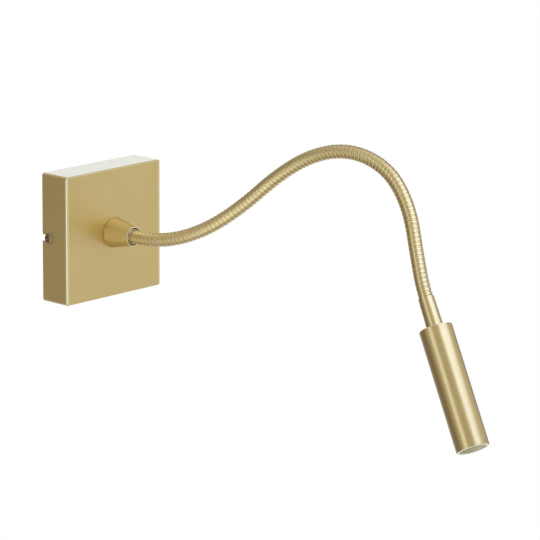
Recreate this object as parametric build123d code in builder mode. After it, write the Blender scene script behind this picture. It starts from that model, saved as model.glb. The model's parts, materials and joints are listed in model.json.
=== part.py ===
"""LED wall light: a square base box, a flexible neck and a tubular spot head.

The origin lies on the wall at the middle of the base. X runs to the right for someone facing the wall, Y runs into
the wall and Z runs up, so the light reaches out along -Y. All sizes are in millimetres and degrees.
"""
import os
from math import cos, radians, sin, sqrt

from build123d import *

os.makedirs("parts", exist_ok=True)

# Base box
base_size = 100.0
base_depth = 27.0
cover_wall = 1.5
cover_corner_radius = 2.0
cover_front_radius = 1.2
notch_width = 5.0
side_screw_from_wall = 7.4

# Wall bracket
bracket_sheet = 1.5
bracket_ear_gap = 0.9
bracket_ear_height = 24.0
bracket_ear_depth = 13.0
bracket_bend = 0.4
bracket_plate_width = 80.0
bracket_plate_top = 20.0
bracket_plate_bottom = -32.0
wall_slot_spacing = 60.0
wall_slot_length = 12.0
wall_slot_width = 5.0
cable_hole_radius = 7.0
cable_bore_radius = 4.5
bush_flange_radius = 9.0
bush_flange_height = 1.5
bush_chamfer = 0.5
wall_gap = 0.2

# Fasteners
m4_radius = 2.0
m4_hole_radius = 2.05
m4_head_radius = 4.0
m4_head_height = 2.4
recess_span = 4.4
recess_width = 0.9
recess_depth = 1.2
side_screw_length = 8.0
side_head_height = 1.6
side_head_side = 0.7
stud_radius = 5.0
stud_hole_radius = 5.1
nut_across_flats = 14.0
nut_height = 5.0
stud_past_nut = 2.0
washer_height = 0.9
washer_radius = 9.0
washer_notches = 12
washer_notch_depth = 0.8
washer_notch_width = 1.2

# Cone at the front of the base
cone_length = 21.6
cone_foot_radius = 11.8
cone_tip_radius = 7.45
cone_bore_radius = 6.85
cone_web = 5.0
cone_rim_chamfer = 0.25
socket_rim_radius = 6.0
socket_rim_setback = 0.1
socket_depth = 11.0

# Flexible neck: its heading at the cone, at each hinge and at the head, as (rise, swing to the right)
neck_length = 346.0
neck_headings = [
    (0.0, 0.0),
    (2.5, 7.5),
    (21.5, 20.5),
    (36.0, 27.0),
    (43.5, 25.0),
    (33.5, 16.5),
    (13.5, 10.5),
    (-17.0, 7.5),
    (-46.5, -9.5),
    (-56.5, -33.0),
    (-57.0, -29.5),
    (-57.5, -15.0),
]
neck_radius = 5.2
neck_groove_depth = 0.55
neck_bore_radius = 2.5
rib_pitch = 3.46
rib_groove = 1.2
rib_flank = 0.3
hinge_clearance = 0.3
neck_fit = 0.05

# Lead inside the neck
lead_radius = 2.2
lead_bend = 7.0

# Ferrule and head
ferrule_length = 23.8
ferrule_top_radius = 5.75
ferrule_foot_radius = 6.25
ferrule_recess = 2.0
neck_end_gap = 0.2
sleeve_radius = 3.9
sleeve_length = 12.0
grub_radius = 1.5
grub_hex = 1.5
grub_hex_depth = 1.2
grub_from_top = 6.0
grub_angle = 220.0
head_length = 93.0
head_radius = 12.3
head_wall = 2.05
head_top = 3.0
head_chamfer = 0.4
mouth_chamfer = 0.3
head_nut_height = 4.0
lens_depth = 7.0
lens_ring_height = 2.0
lens_ring_bore = 8.6
lens_ring_chamfer = 0.9
lens_height = 9.4
lens_flange = 1.5
lens_flange_width = 1.15
lens_edge_gap = 0.15
lens_back_radius = 4.2
lens_gap = 1.7
lens_pocket_depth = 3.5
lens_pocket_gap = 0.5
lens_pocket_taper = 0.3
holder_gap = 0.1
holder_wall = 0.8
board_thickness = 1.6
board_radius = 9.9
board_notch_radius = 1.6
board_notch_inset = 0.7
board_notches = 6
heat_sink_length = 30.0
heat_sink_fit = 0.05
sink_grooves = 3
sink_groove_pitch = 6.0
sink_groove_width = 2.5
sink_groove_depth = 0.65
sink_hole_depth = 6.0
led_wire_radius = 0.65
led_wire_gap = 0.35
led_wire_offset = 8.4
led_size = 3.45
led_height = 0.7
led_dome_radius = 1.4
board_screw_radius = 1.2
board_screw_head = 2.2
board_screw_head_height = 1.4
board_screw_depth = 5.0
board_screw_play = 0.15
board_recess_span = 2.4
board_recess_width = 0.6
board_recess_depth = 0.9
board_screw_offset = 7.0

# Terminal block
terminal_length = 28.0
terminal_depth = 16.0
terminal_height = 8.0
terminal_middle = -23.0
terminal_pole_gap = 9.3
terminal_pole_height = 4.5
terminal_turret_radius = 3.0
terminal_turret_height = 4.5
terminal_turret_offset = 4.0
terminal_sleeve_radius = 1.95
terminal_sleeve_length = 14.0
terminal_bore_radius = 1.3
terminal_screw_radius = 1.25
terminal_well_gap = 0.3
terminal_screw_sink = 0.8
terminal_slot_width = 0.5
terminal_slot_depth = 0.8
peg_radius = 1.5
peg_offset = 11.0

# Wires in the base
wire_radius = 1.1
wire_bend = 4.0
wire_fit = 0.1
wire_gap = 0.2
earth_x = 27.0
earth_z = -20.0
lug_radius = 4.0
lug_thickness = 1.0
lug_neck = 5.5
lug_overlap = 2.0
lug_barrel_radius = 1.7
earth_head_radius = 3.6

# Driver
driver_length = 60.0
driver_width = 28.0
driver_depth = 14.8
driver_wall = 1.2
driver_lid_height = 1.2
driver_x = -3.0
driver_top_gap = 3.5
pad_height = 1.0
pad_length = 40.0
pad_width = 18.0
driver_board_gap = 1.8
driver_board_height = 1.6
driver_board_play = 0.5
driver_post_radius = 2.0
driver_post_inset_x = 5.0
driver_post_inset_z = 4.0
transformer_x = -1.0
transformer_length = 15.0
transformer_width = 14.0
transformer_flange = 2.0
transformer_core_length = 11.0
transformer_core_width = 12.0
transformer_core_height = 4.5
capacitor_radius = 4.0
capacitor_height = 8.8
capacitor_x = 14.0
capacitor_z = 6.5

# The wall, with its normal pointing out into the room: local x is X, local y is Z
wall = Plane(origin=(0, 0, 0), x_dir=(1, 0, 0), z_dir=(0, -1, 0))
cover_inside = base_depth - cover_wall
cone_tip = base_depth + cone_length
ear_outside = base_size / 2 - cover_wall - bracket_ear_gap
driver_z = base_size / 2 - cover_wall - driver_top_gap - driver_width / 2


def room_point(x, out, z):
    """Point at a distance out from the wall."""
    return Vector(x, -out, z)


def half_plane(frame):
    """Plane through a frame's normal: local x is the radius and local y the height along the normal."""
    return Plane(origin=frame.origin, x_dir=frame.x_dir, z_dir=-frame.y_dir)


def normal_axis(frame):
    """Axis along a frame's normal."""
    return Axis(frame.origin, frame.z_dir)


def save(part, label):
    """Names a piece and writes it to its own file."""
    part.label = label
    export_step(part, f"parts/{label}.step")


# Base cover: a shell open to the wall, with a stud hole and two side notches that drop over the side screws
with BuildPart() as base_cover:
    with BuildSketch(wall):
        RectangleRounded(base_size, base_size, cover_corner_radius)
    extrude(amount=base_depth)
    fillet(base_cover.faces().sort_by(Axis.Y)[0].edges(), cover_front_radius)
    with BuildSketch(wall):
        Rectangle(base_size - 2 * cover_wall, base_size - 2 * cover_wall)
    extrude(amount=cover_inside, mode=Mode.SUBTRACT)
    with BuildSketch(wall.offset(base_depth)):
        Circle(stud_hole_radius)
    extrude(amount=-2 * cover_wall, mode=Mode.SUBTRACT)
    with BuildSketch(Plane(origin=(0, 0, 0), x_dir=(0, -1, 0), z_dir=(1, 0, 0))):
        with Locations((side_screw_from_wall, 0)):
            Circle(notch_width / 2)
        Rectangle(2 * side_screw_from_wall, notch_width)
    extrude(amount=base_size, both=True, mode=Mode.SUBTRACT)
save(base_cover.part, "base_cover")

# Wall bracket: a sheet plate with two ears bent forward for the side screws
with BuildPart() as wall_bracket:
    with BuildSketch(wall):
        with Locations((0, (bracket_plate_top + bracket_plate_bottom) / 2)):
            Rectangle(bracket_plate_width, bracket_plate_top - bracket_plate_bottom)
        Rectangle(2 * ear_outside, bracket_ear_height)
    extrude(amount=bracket_sheet)
    with BuildSketch(wall):
        with Locations((ear_outside - bracket_sheet / 2, 0), (bracket_sheet / 2 - ear_outside, 0)):
            Rectangle(bracket_sheet, bracket_ear_height)
    extrude(amount=bracket_ear_depth)
    bends = wall_bracket.edges().filter_by(Axis.Z).filter_by(
        lambda edge: abs(abs(edge.center().X) - ear_outside) < 0.01 and abs(edge.center().Y) < 0.01
    )
    fillet(bends, bracket_sheet + bracket_bend)
    with BuildSketch(wall):
        with Locations((-wall_slot_spacing / 2, 0), (wall_slot_spacing / 2, 0)):
            SlotOverall(wall_slot_length, wall_slot_width)
        Circle(cable_hole_radius)
        with Locations((-peg_offset, terminal_middle), (peg_offset, terminal_middle)):
            Circle(peg_radius + neck_fit)
        with Locations((earth_x, earth_z)):
            Circle(m4_hole_radius)
    extrude(amount=bracket_sheet, mode=Mode.SUBTRACT)
    with BuildSketch(Plane(origin=(0, 0, 0), x_dir=(0, -1, 0), z_dir=(1, 0, 0))):
        with Locations((side_screw_from_wall, 0)):
            Circle(m4_hole_radius)
    extrude(amount=base_size, both=True, mode=Mode.SUBTRACT)
save(wall_bracket.part, "wall_bracket")

# Side screws: pan heads with a cross recess, one in each side notch
with BuildPart() as side_screws:
    for side in (-1, 1):
        seat = Plane(
            origin=(side * base_size / 2, -side_screw_from_wall, 0), x_dir=(0, 0, 1), z_dir=(side, 0, 0)
        )
        with BuildSketch(half_plane(seat)):
            with BuildLine():
                Polyline(
                    (0, side_head_height),
                    (0, -side_screw_length),
                    (m4_radius, -side_screw_length),
                    (m4_radius, 0),
                    (m4_head_radius, 0),
                    (m4_head_radius, side_head_side),
                )
                TangentArc((0, side_head_height), (m4_head_radius, side_head_side), tangent=(1, 0))
            make_face()
        revolve(axis=normal_axis(seat))
        with Locations(seat.offset(side_head_height).location):
            Box(recess_span, recess_width, 2 * recess_depth, mode=Mode.SUBTRACT)
            Box(recess_width, recess_span, 2 * recess_depth, mode=Mode.SUBTRACT)
save(side_screws.part, "side_screws")

# Cone that covers the neck's socket on the front of the base
with BuildPart() as neck_cone:
    with BuildSketch(half_plane(wall)):
        with BuildLine():
            Polyline(
                (stud_hole_radius, base_depth),
                (cone_foot_radius, base_depth),
                (cone_tip_radius, cone_tip - cone_rim_chamfer),
                (cone_tip_radius - cone_rim_chamfer, cone_tip),
                (cone_bore_radius, cone_tip),
                (cone_bore_radius, base_depth + cone_web),
                (stud_hole_radius, base_depth + cone_web),
                close=True,
            )
        make_face()
    revolve(axis=normal_axis(wall))
save(neck_cone.part, "neck_cone")

# Stud: a socket for the neck's end with a threaded tail through the cone and the cover
stud_tail = cover_inside - washer_height - nut_height - stud_past_nut
socket_rim = cone_tip - socket_rim_setback
socket_floor = socket_rim - socket_depth
with BuildPart() as neck_stud:
    with BuildSketch(half_plane(wall)):
        with BuildLine():
            Polyline(
                (neck_bore_radius, stud_tail),
                (stud_radius, stud_tail),
                (stud_radius, base_depth + cone_web),
                (socket_rim_radius, base_depth + cone_web),
                (socket_rim_radius, socket_rim),
                (neck_radius + neck_fit, socket_rim),
                (neck_radius + neck_fit, socket_floor),
                (neck_bore_radius, socket_floor),
                close=True,
            )
        make_face()
    revolve(axis=normal_axis(wall))
save(neck_stud.part, "neck_stud")

# Toothed lock washer under the stud nut
with BuildPart() as lock_washer:
    with BuildSketch(wall.offset(cover_inside - washer_height)):
        Circle(washer_radius)
        Circle(stud_hole_radius, mode=Mode.SUBTRACT)
        with PolarLocations(washer_radius, washer_notches):
            Rectangle(2 * washer_notch_depth, washer_notch_width, mode=Mode.SUBTRACT)
    extrude(amount=washer_height)
save(lock_washer.part, "lock_washer")

# Nut that clamps the stud, the cone and the cover together
with BuildPart() as stud_nut:
    with BuildSketch(wall.offset(cover_inside - washer_height - nut_height)):
        RegularPolygon(nut_across_flats / 2, 6, major_radius=False)
        Circle(stud_radius + neck_fit, mode=Mode.SUBTRACT)
    extrude(amount=nut_height)
save(stud_nut.part, "stud_nut")

# Bush that lines the cable hole
bush_top = bracket_sheet + bush_flange_height
with BuildPart() as cable_bush:
    with BuildSketch(half_plane(wall)):
        with BuildLine():
            Polyline(
                (cable_bore_radius, wall_gap),
                (cable_hole_radius - neck_fit, wall_gap),
                (cable_hole_radius - neck_fit, bracket_sheet),
                (bush_flange_radius, bracket_sheet),
                (bush_flange_radius, bush_top - bush_chamfer),
                (bush_flange_radius - bush_chamfer, bush_top),
                (cable_bore_radius + bush_chamfer, bush_top),
                (cable_bore_radius, bush_top - bush_chamfer),
                close=True,
            )
        make_face()
    revolve(axis=normal_axis(wall))
save(cable_bush.part, "cable_bush")

# Terminal block with its sleeves and clamping screws
pole_places = [-terminal_pole_gap, 0.0, terminal_pole_gap]
pole_out = bracket_sheet + terminal_pole_height
turret_top = bracket_sheet + terminal_height + terminal_turret_height
clamp_places = [
    (pole, terminal_middle + side * terminal_turret_offset) for pole in pole_places for side in (-1, 1)
]
with BuildPart(wall) as terminal_block:
    with Locations((0, terminal_middle, bracket_sheet)):
        Box(terminal_length, terminal_depth, terminal_height, align=(Align.CENTER, Align.CENTER, Align.MIN))
    with BuildSketch(wall.offset(bracket_sheet + terminal_height)):
        with Locations(*clamp_places):
            Circle(terminal_turret_radius)
    extrude(amount=terminal_turret_height)
    with BuildSketch(wall.offset(bracket_sheet)):
        with Locations((-peg_offset, terminal_middle), (peg_offset, terminal_middle)):
            Circle(peg_radius)
    extrude(amount=wall_gap - bracket_sheet)
    with Locations(*[(pole, terminal_middle, pole_out) for pole in pole_places]):
        Cylinder(
            terminal_sleeve_radius + neck_fit, 2 * terminal_depth, rotation=(90, 0, 0), mode=Mode.SUBTRACT
        )
    with BuildSketch(wall.offset(turret_top)):
        with Locations(*clamp_places):
            Circle(terminal_screw_radius + terminal_well_gap)
    extrude(amount=pole_out - turret_top, mode=Mode.SUBTRACT)
save(terminal_block.part, "terminal_block")

with BuildPart(wall) as terminal_sleeves:
    with Locations(*[(pole, terminal_middle, pole_out) for pole in pole_places]):
        Cylinder(terminal_sleeve_radius, terminal_sleeve_length, rotation=(90, 0, 0))
        Cylinder(terminal_bore_radius, terminal_depth, rotation=(90, 0, 0), mode=Mode.SUBTRACT)
    with BuildSketch(wall.offset(turret_top)):
        with Locations(*clamp_places):
            Circle(terminal_screw_radius + neck_fit)
    extrude(amount=pole_out - turret_top, mode=Mode.SUBTRACT)
save(terminal_sleeves.part, "terminal_sleeves")

screw_tip = pole_out + wire_radius + wire_fit
screw_top = turret_top - terminal_screw_sink
with BuildPart(wall) as terminal_screws:
    with BuildSketch(wall.offset(screw_tip)):
        with Locations(*clamp_places):
            Circle(terminal_screw_radius)
    extrude(amount=screw_top - screw_tip)
    with BuildSketch(wall.offset(screw_top)):
        with Locations(*clamp_places):
            Rectangle(2 * terminal_screw_radius, terminal_slot_width)
    extrude(amount=-terminal_slot_depth, mode=Mode.SUBTRACT)
save(terminal_screws.part, "terminal_screws")

# Earth lug, washer and screw on the bracket plate
lug_top = bracket_sheet + lug_thickness
barrel_out = bracket_sheet + lug_barrel_radius
barrel_top = earth_z - lug_neck
barrel_bottom = bracket_plate_bottom
with BuildPart(wall) as earth_lug:
    with BuildSketch(wall.offset(bracket_sheet)):
        with Locations((earth_x, earth_z)):
            Circle(lug_radius)
        with Locations((earth_x, (earth_z + barrel_top - lug_overlap) / 2)):
            Rectangle(2 * lug_barrel_radius, lug_neck + lug_overlap)
        with Locations((earth_x, earth_z)):
            Circle(m4_hole_radius, mode=Mode.SUBTRACT)
    extrude(amount=lug_thickness)
    with Locations((earth_x, (barrel_top + barrel_bottom) / 2, barrel_out)):
        Cylinder(lug_barrel_radius, barrel_top - barrel_bottom, rotation=(90, 0, 0))
        Cylinder(
            wire_radius + wire_fit, 2 * (barrel_top - barrel_bottom), rotation=(90, 0, 0), mode=Mode.SUBTRACT
        )
save(earth_lug.part, "earth_lug")

with BuildPart() as earth_washer:
    with BuildSketch(wall.offset(lug_top)):
        with Locations((earth_x, earth_z)):
            Circle(lug_radius)
            Circle(m4_hole_radius, mode=Mode.SUBTRACT)
    extrude(amount=washer_height)
save(earth_washer.part, "earth_washer")

earth_seat = lug_top + washer_height
with BuildPart(wall) as earth_screw:
    with BuildSketch(wall.offset(wall_gap)):
        with Locations((earth_x, earth_z)):
            Circle(m4_radius)
    extrude(amount=earth_seat - wall_gap)
    with BuildSketch(wall.offset(earth_seat)):
        with Locations((earth_x, earth_z)):
            Circle(earth_head_radius)
    extrude(amount=m4_head_height)
    with BuildSketch(wall.offset(earth_seat + m4_head_height)):
        with Locations((earth_x, earth_z)):
            Rectangle(recess_span, recess_width)
            Rectangle(recess_width, recess_span)
    extrude(amount=-recess_depth, mode=Mode.SUBTRACT)
save(earth_screw.part, "earth_screw")

# Driver: case, lid, pad, board and the larger components on it
driver_front = cover_inside - pad_height
driver_lid_back = driver_front - driver_lid_height
driver_back = driver_lid_back - driver_depth
driver_board_back = driver_back + driver_wall + driver_board_gap
driver_board_front = driver_board_back + driver_board_height
driver_left = driver_x - driver_length / 2
driver_right = driver_x + driver_length / 2
mains_out = driver_board_front + wire_radius + wire_gap
lead_out = driver_board_front + lead_radius + wire_gap
live_z = driver_z + 5.0
neutral_z = driver_z - 3.0
with BuildPart(wall) as driver_case:
    with Locations((driver_x, driver_z, driver_back)):
        Box(driver_length, driver_width, driver_depth, align=(Align.CENTER, Align.CENTER, Align.MIN))
    with Locations((driver_x, driver_z, driver_back + driver_wall)):
        Box(
            driver_length - 2 * driver_wall,
            driver_width - 2 * driver_wall,
            driver_depth,
            align=(Align.CENTER, Align.CENTER, Align.MIN),
            mode=Mode.SUBTRACT,
        )
    with BuildSketch(wall.offset(driver_back + driver_wall)):
        with Locations((driver_x, driver_z)):
            with GridLocations(
                driver_length - 2 * driver_post_inset_x, driver_width - 2 * driver_post_inset_z, 2, 2
            ):
                Circle(driver_post_radius)
    extrude(amount=driver_board_gap)
    with Locations((driver_left, live_z, mains_out), (driver_left, neutral_z, mains_out)):
        Cylinder(wire_radius + wire_gap, 4 * driver_wall, rotation=(0, 90, 0), mode=Mode.SUBTRACT)
    with Locations((driver_right, driver_z, lead_out)):
        Cylinder(lead_radius + wire_gap, 4 * driver_wall, rotation=(0, 90, 0), mode=Mode.SUBTRACT)
save(driver_case.part, "driver_case")

with BuildPart(wall) as driver_lid:
    with Locations((driver_x, driver_z, driver_lid_back)):
        Box(driver_length, driver_width, driver_lid_height, align=(Align.CENTER, Align.CENTER, Align.MIN))
save(driver_lid.part, "driver_lid")

with BuildPart(wall) as driver_pad:
    with Locations((driver_x, driver_z, driver_front)):
        Box(pad_length, pad_width, pad_height, align=(Align.CENTER, Align.CENTER, Align.MIN))
save(driver_pad.part, "driver_pad")

with BuildPart(wall) as driver_board:
    with Locations((driver_x, driver_z, driver_board_back)):
        Box(
            driver_length - 2 * (driver_wall + driver_board_play),
            driver_width - 2 * (driver_wall + driver_board_play),
            driver_board_height,
            align=(Align.CENTER, Align.CENTER, Align.MIN),
        )
save(driver_board.part, "driver_board")

with BuildPart(wall) as driver_transformer:
    core_back = driver_board_front + transformer_flange
    core_front = core_back + transformer_core_height
    with Locations(*[(driver_x + transformer_x, driver_z, out) for out in (driver_board_front, core_front)]):
        Box(
            transformer_length,
            transformer_width,
            transformer_flange,
            align=(Align.CENTER, Align.CENTER, Align.MIN),
        )
    with Locations((driver_x + transformer_x, driver_z, core_back)):
        Box(
            transformer_core_length,
            transformer_core_width,
            transformer_core_height,
            align=(Align.CENTER, Align.CENTER, Align.MIN),
        )
save(driver_transformer.part, "driver_transformer")

with BuildPart(wall) as driver_capacitors:
    with BuildSketch(wall.offset(driver_board_front)):
        with Locations((driver_x + capacitor_x, driver_z)):
            with GridLocations(0, 2 * capacitor_z, 1, 2):
                Circle(capacitor_radius)
    extrude(amount=capacitor_height)
save(driver_capacitors.part, "driver_capacitors")

# Wires in the base: from the driver round to the terminal block, and from there to the earth lug
wire_start = driver_left + 7.0
wire_end = terminal_middle - 1.5
with BuildPart() as live_wire:
    with BuildLine():
        FilletPolyline(
            room_point(wire_start, mains_out, live_z),
            room_point(driver_left - 7.5, mains_out, live_z),
            room_point(driver_left - 7.5, mains_out, terminal_middle - 18.0),
            room_point(pole_places[1], pole_out, terminal_middle - 18.0),
            room_point(pole_places[1], pole_out, wire_end),
            radius=wire_bend,
        )
    with BuildSketch(Plane(origin=room_point(wire_start, mains_out, live_z), z_dir=(-1, 0, 0))):
        Circle(wire_radius)
    sweep()
save(live_wire.part, "live_wire")

with BuildPart() as neutral_wire:
    with BuildLine():
        FilletPolyline(
            room_point(wire_start, mains_out, neutral_z),
            room_point(driver_left - 4.0, mains_out, neutral_z),
            room_point(driver_left - 4.0, mains_out, terminal_middle - 14.0),
            room_point(pole_places[0], pole_out, terminal_middle - 14.0),
            room_point(pole_places[0], pole_out, wire_end),
            radius=wire_bend,
        )
    with BuildSketch(Plane(origin=room_point(wire_start, mains_out, neutral_z), z_dir=(-1, 0, 0))):
        Circle(wire_radius)
    sweep()
save(neutral_wire.part, "neutral_wire")

with BuildPart() as earth_wire:
    with BuildLine():
        FilletPolyline(
            room_point(pole_places[2], pole_out, wire_end),
            room_point(pole_places[2], pole_out, terminal_middle - 16.0),
            room_point(earth_x, barrel_out, terminal_middle - 16.0),
            room_point(earth_x, barrel_out, barrel_top - 0.5),
            radius=wire_bend,
        )
    with BuildSketch(Plane(origin=room_point(pole_places[2], pole_out, wire_end), z_dir=(0, 0, -1))):
        Circle(wire_radius)
    sweep()
save(earth_wire.part, "earth_wire")


# Flexible neck
class NeckArc:
    """One section of the neck: an arc of even bend from one heading to the next, straight beyond its ends."""

    def __init__(self, start, first, last, length):
        self.start = start
        self.first = first
        self.length = length
        self.turn = radians(first.get_angle(last))
        self.bend_axis = first.cross(last).normalized()
        self.inward = self.bend_axis.cross(first)
        self.radius = length / self.turn

    def tangent(self, place):
        """Heading at a distance along the section."""
        angle = self.turn * min(max(place, 0.0), self.length) / self.length
        return self.first * cos(angle) + self.inward * sin(angle)

    def point(self, place):
        """Point on the middle line at a distance along the section."""
        inside = min(max(place, 0.0), self.length)
        angle = self.turn * inside / self.length
        across = self.first * (self.radius * sin(angle)) + self.inward * (self.radius * (1 - cos(angle)))
        return self.start + across + self.tangent(place) * (place - inside)

    def plane(self, place):
        """Plane square to the middle line, with a steady x axis."""
        return Plane(origin=self.point(place), x_dir=self.bend_axis, z_dir=self.tangent(place))

    def draw(self, begins, ends):
        """Draws the middle line between two distances, into the line being built."""
        low = max(begins, 0.0)
        high = min(ends, self.length)
        if begins < 0:
            Line(self.point(begins), self.point(0.0))
        ThreePointArc(self.point(low), self.point((low + high) / 2), self.point(high))
        if ends > self.length:
            Line(self.point(self.length), self.point(ends))


def heading(rise, swing):
    """Unit vector that rises above the horizontal and swings to the right of straight out."""
    level = cos(radians(rise))
    return Vector(sin(radians(swing)) * level, -cos(radians(swing)) * level, sin(radians(rise)))


def rib_rings(begins, ends):
    """Places and radii of the circles that a section is drawn through, four to a groove."""
    count = round((ends - begins) / rib_pitch)
    pitch = (ends - begins) / count
    root = neck_radius - neck_groove_depth
    rings = [(begins, neck_radius)]
    for rib in range(1, count):
        groove = begins + rib * pitch
        rings.append((groove, neck_radius))
        rings.append((groove + rib_flank, root))
        rings.append((groove + rib_groove - rib_flank, root))
        rings.append((groove + rib_groove, neck_radius))
    rings.append((ends, neck_radius))
    return rings


hinge_count = len(neck_headings) - 2
section_length = neck_length / hinge_count
headings = [heading(rise, swing) for rise, swing in neck_headings]
neck_arcs = []
arc_start = room_point(0, cone_tip, 0)
for number in range(hinge_count + 1):
    arc_length = section_length / 2 if number in (0, hinge_count) else section_length
    arc = NeckArc(arc_start, headings[number], headings[number + 1], arc_length)
    neck_arcs.append(arc)
    arc_start = arc.point(arc_length)
neck_end = arc_start

seat_radius = neck_radius + hinge_clearance
dome_reach = sqrt(neck_radius**2 - neck_bore_radius**2)
last_section = len(neck_arcs)
for number, arc in enumerate(neck_arcs, start=1):
    section_start = socket_floor - cone_tip if number == 1 else 0.0
    section_end = arc.length + ferrule_recess - neck_end_gap if number == last_section else arc.length
    bore_end = section_end + 1.0 if number == last_section else section_end + neck_radius
    with BuildPart() as neck_section:
        for place, ring_radius in rib_rings(section_start, section_end):
            with BuildSketch(arc.plane(place)):
                Circle(ring_radius)
        loft(ruled=True)
        if number < last_section:
            with Locations(arc.plane(arc.length).location):
                Sphere(neck_radius, arc_size1=0)
        with BuildLine():
            arc.draw(section_start - 1.0, bore_end)
        with BuildSketch(arc.plane(section_start - 1.0)):
            Circle(neck_bore_radius)
        sweep(mode=Mode.SUBTRACT)
        if number > 1:
            with Locations(arc.start):
                Sphere(seat_radius, mode=Mode.SUBTRACT)
    save(neck_section.part, f"neck_section_{number:02d}")

# Lead: whole from the driver to the first hinge, then one length in each section of the neck
first_arc = neck_arcs[0]
with BuildPart() as driver_lead:
    with BuildLine():
        FilletPolyline(
            room_point(driver_right - 7.0, lead_out, driver_z),
            room_point(driver_right + 10.5, lead_out, driver_z),
            room_point(driver_right + 10.5, lead_out - 5.5, 0),
            room_point(0, lead_out - 7.5, 0),
            room_point(0, cone_tip, 0),
            radius=lead_bend,
        )
        first_arc.draw(0.0, first_arc.length + dome_reach)
    with BuildSketch(Plane(origin=room_point(driver_right - 7.0, lead_out, driver_z), z_dir=(1, 0, 0))):
        Circle(lead_radius)
    sweep()
save(driver_lead.part, "driver_lead")

head_lead_end = ferrule_length + head_top + head_nut_height + 8.0
for number, arc in enumerate(neck_arcs[1:], start=2):
    lead_start = seat_radius + 0.1
    lead_end = arc.length + (head_lead_end if number == last_section else dome_reach)
    with BuildPart() as lead_section:
        with BuildLine():
            arc.draw(lead_start, lead_end)
        with BuildSketch(arc.plane(lead_start)):
            Circle(lead_radius)
        sweep()
    save(lead_section.part, f"lead_section_{number:02d}")

# Head frame: at the neck's end, with the normal along the head
head_axis = headings[-1]
head_across = (Vector(1, 0, 0) - head_axis * head_axis.X).normalized()
head_frame = Plane(origin=neck_end, x_dir=head_across, z_dir=head_axis)
head_start = ferrule_length
head_bore = head_radius - head_wall
tube_floor = head_start + head_top
head_mouth = head_start + head_length
ring_front = head_mouth - lens_depth
lens_front = ring_front - lens_ring_height
board_front = lens_front - lens_height - lens_gap
board_back = board_front - board_thickness
sink_back = board_back - heat_sink_length

# Sleeve on the neck's end, gripped by the grub screw in the ferrule
with BuildPart() as neck_end_sleeve:
    with BuildSketch(head_frame.offset(ferrule_recess - neck_end_gap)):
        Circle(sleeve_radius)
        Circle(neck_bore_radius, mode=Mode.SUBTRACT)
    extrude(amount=sleeve_length)
save(neck_end_sleeve.part, "neck_end_sleeve")

sleeve_floor = ferrule_recess - neck_end_gap + sleeve_length
ferrule_tail = tube_floor + head_nut_height + 1.5
ferrule_taper = (ferrule_foot_radius - ferrule_top_radius) / ferrule_length
grub_outside = ferrule_top_radius + ferrule_taper * grub_from_top
grub_frame = Plane(
    origin=head_frame.from_local_coords(Vector(0, 0, grub_from_top)),
    x_dir=head_axis,
    z_dir=head_across * cos(radians(grub_angle)) + head_frame.y_dir * sin(radians(grub_angle)),
)
with BuildPart() as head_ferrule:
    with BuildSketch(half_plane(head_frame)):
        with BuildLine():
            Polyline(
                (neck_radius + neck_fit, 0),
                (ferrule_top_radius, 0),
                (ferrule_foot_radius, ferrule_length),
                (stud_radius, ferrule_length),
                (stud_radius, ferrule_tail),
                (neck_bore_radius, ferrule_tail),
                (neck_bore_radius, sleeve_floor),
                (sleeve_radius + neck_fit, sleeve_floor),
                (sleeve_radius + neck_fit, ferrule_recess),
                (neck_radius + neck_fit, ferrule_recess),
                close=True,
            )
        make_face()
    revolve(axis=normal_axis(head_frame))
    with BuildSketch(grub_frame):
        Circle(grub_radius + neck_fit)
    extrude(amount=2 * ferrule_foot_radius, mode=Mode.SUBTRACT)
save(head_ferrule.part, "head_ferrule")

with BuildPart() as ferrule_grub_screw:
    with BuildSketch(grub_frame.offset(sleeve_radius)):
        Circle(grub_radius)
    extrude(amount=grub_outside - sleeve_radius)
    with BuildSketch(grub_frame.offset(grub_outside)):
        RegularPolygon(grub_hex / 2, 6, major_radius=False)
    extrude(amount=-grub_hex_depth, mode=Mode.SUBTRACT)
save(ferrule_grub_screw.part, "ferrule_grub_screw")

# Head tube: closed at the top, open at the mouth
with BuildPart() as head_tube:
    with BuildSketch(half_plane(head_frame)):
        with BuildLine():
            Polyline(
                (stud_hole_radius, head_start),
                (head_radius - head_chamfer, head_start),
                (head_radius, head_start + head_chamfer),
                (head_radius, head_mouth - head_chamfer),
                (head_radius - head_chamfer, head_mouth),
                (head_bore + mouth_chamfer, head_mouth),
                (head_bore, head_mouth - mouth_chamfer),
                (head_bore, tube_floor),
                (stud_hole_radius, tube_floor),
                close=True,
            )
        make_face()
    revolve(axis=normal_axis(head_frame))
save(head_tube.part, "head_tube")

with BuildPart() as head_nut:
    with BuildSketch(head_frame.offset(tube_floor)):
        RegularPolygon(nut_across_flats / 2, 6, major_radius=False)
        Circle(stud_radius + neck_fit, mode=Mode.SUBTRACT)
    extrude(amount=head_nut_height)
save(head_nut.part, "head_nut")

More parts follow.
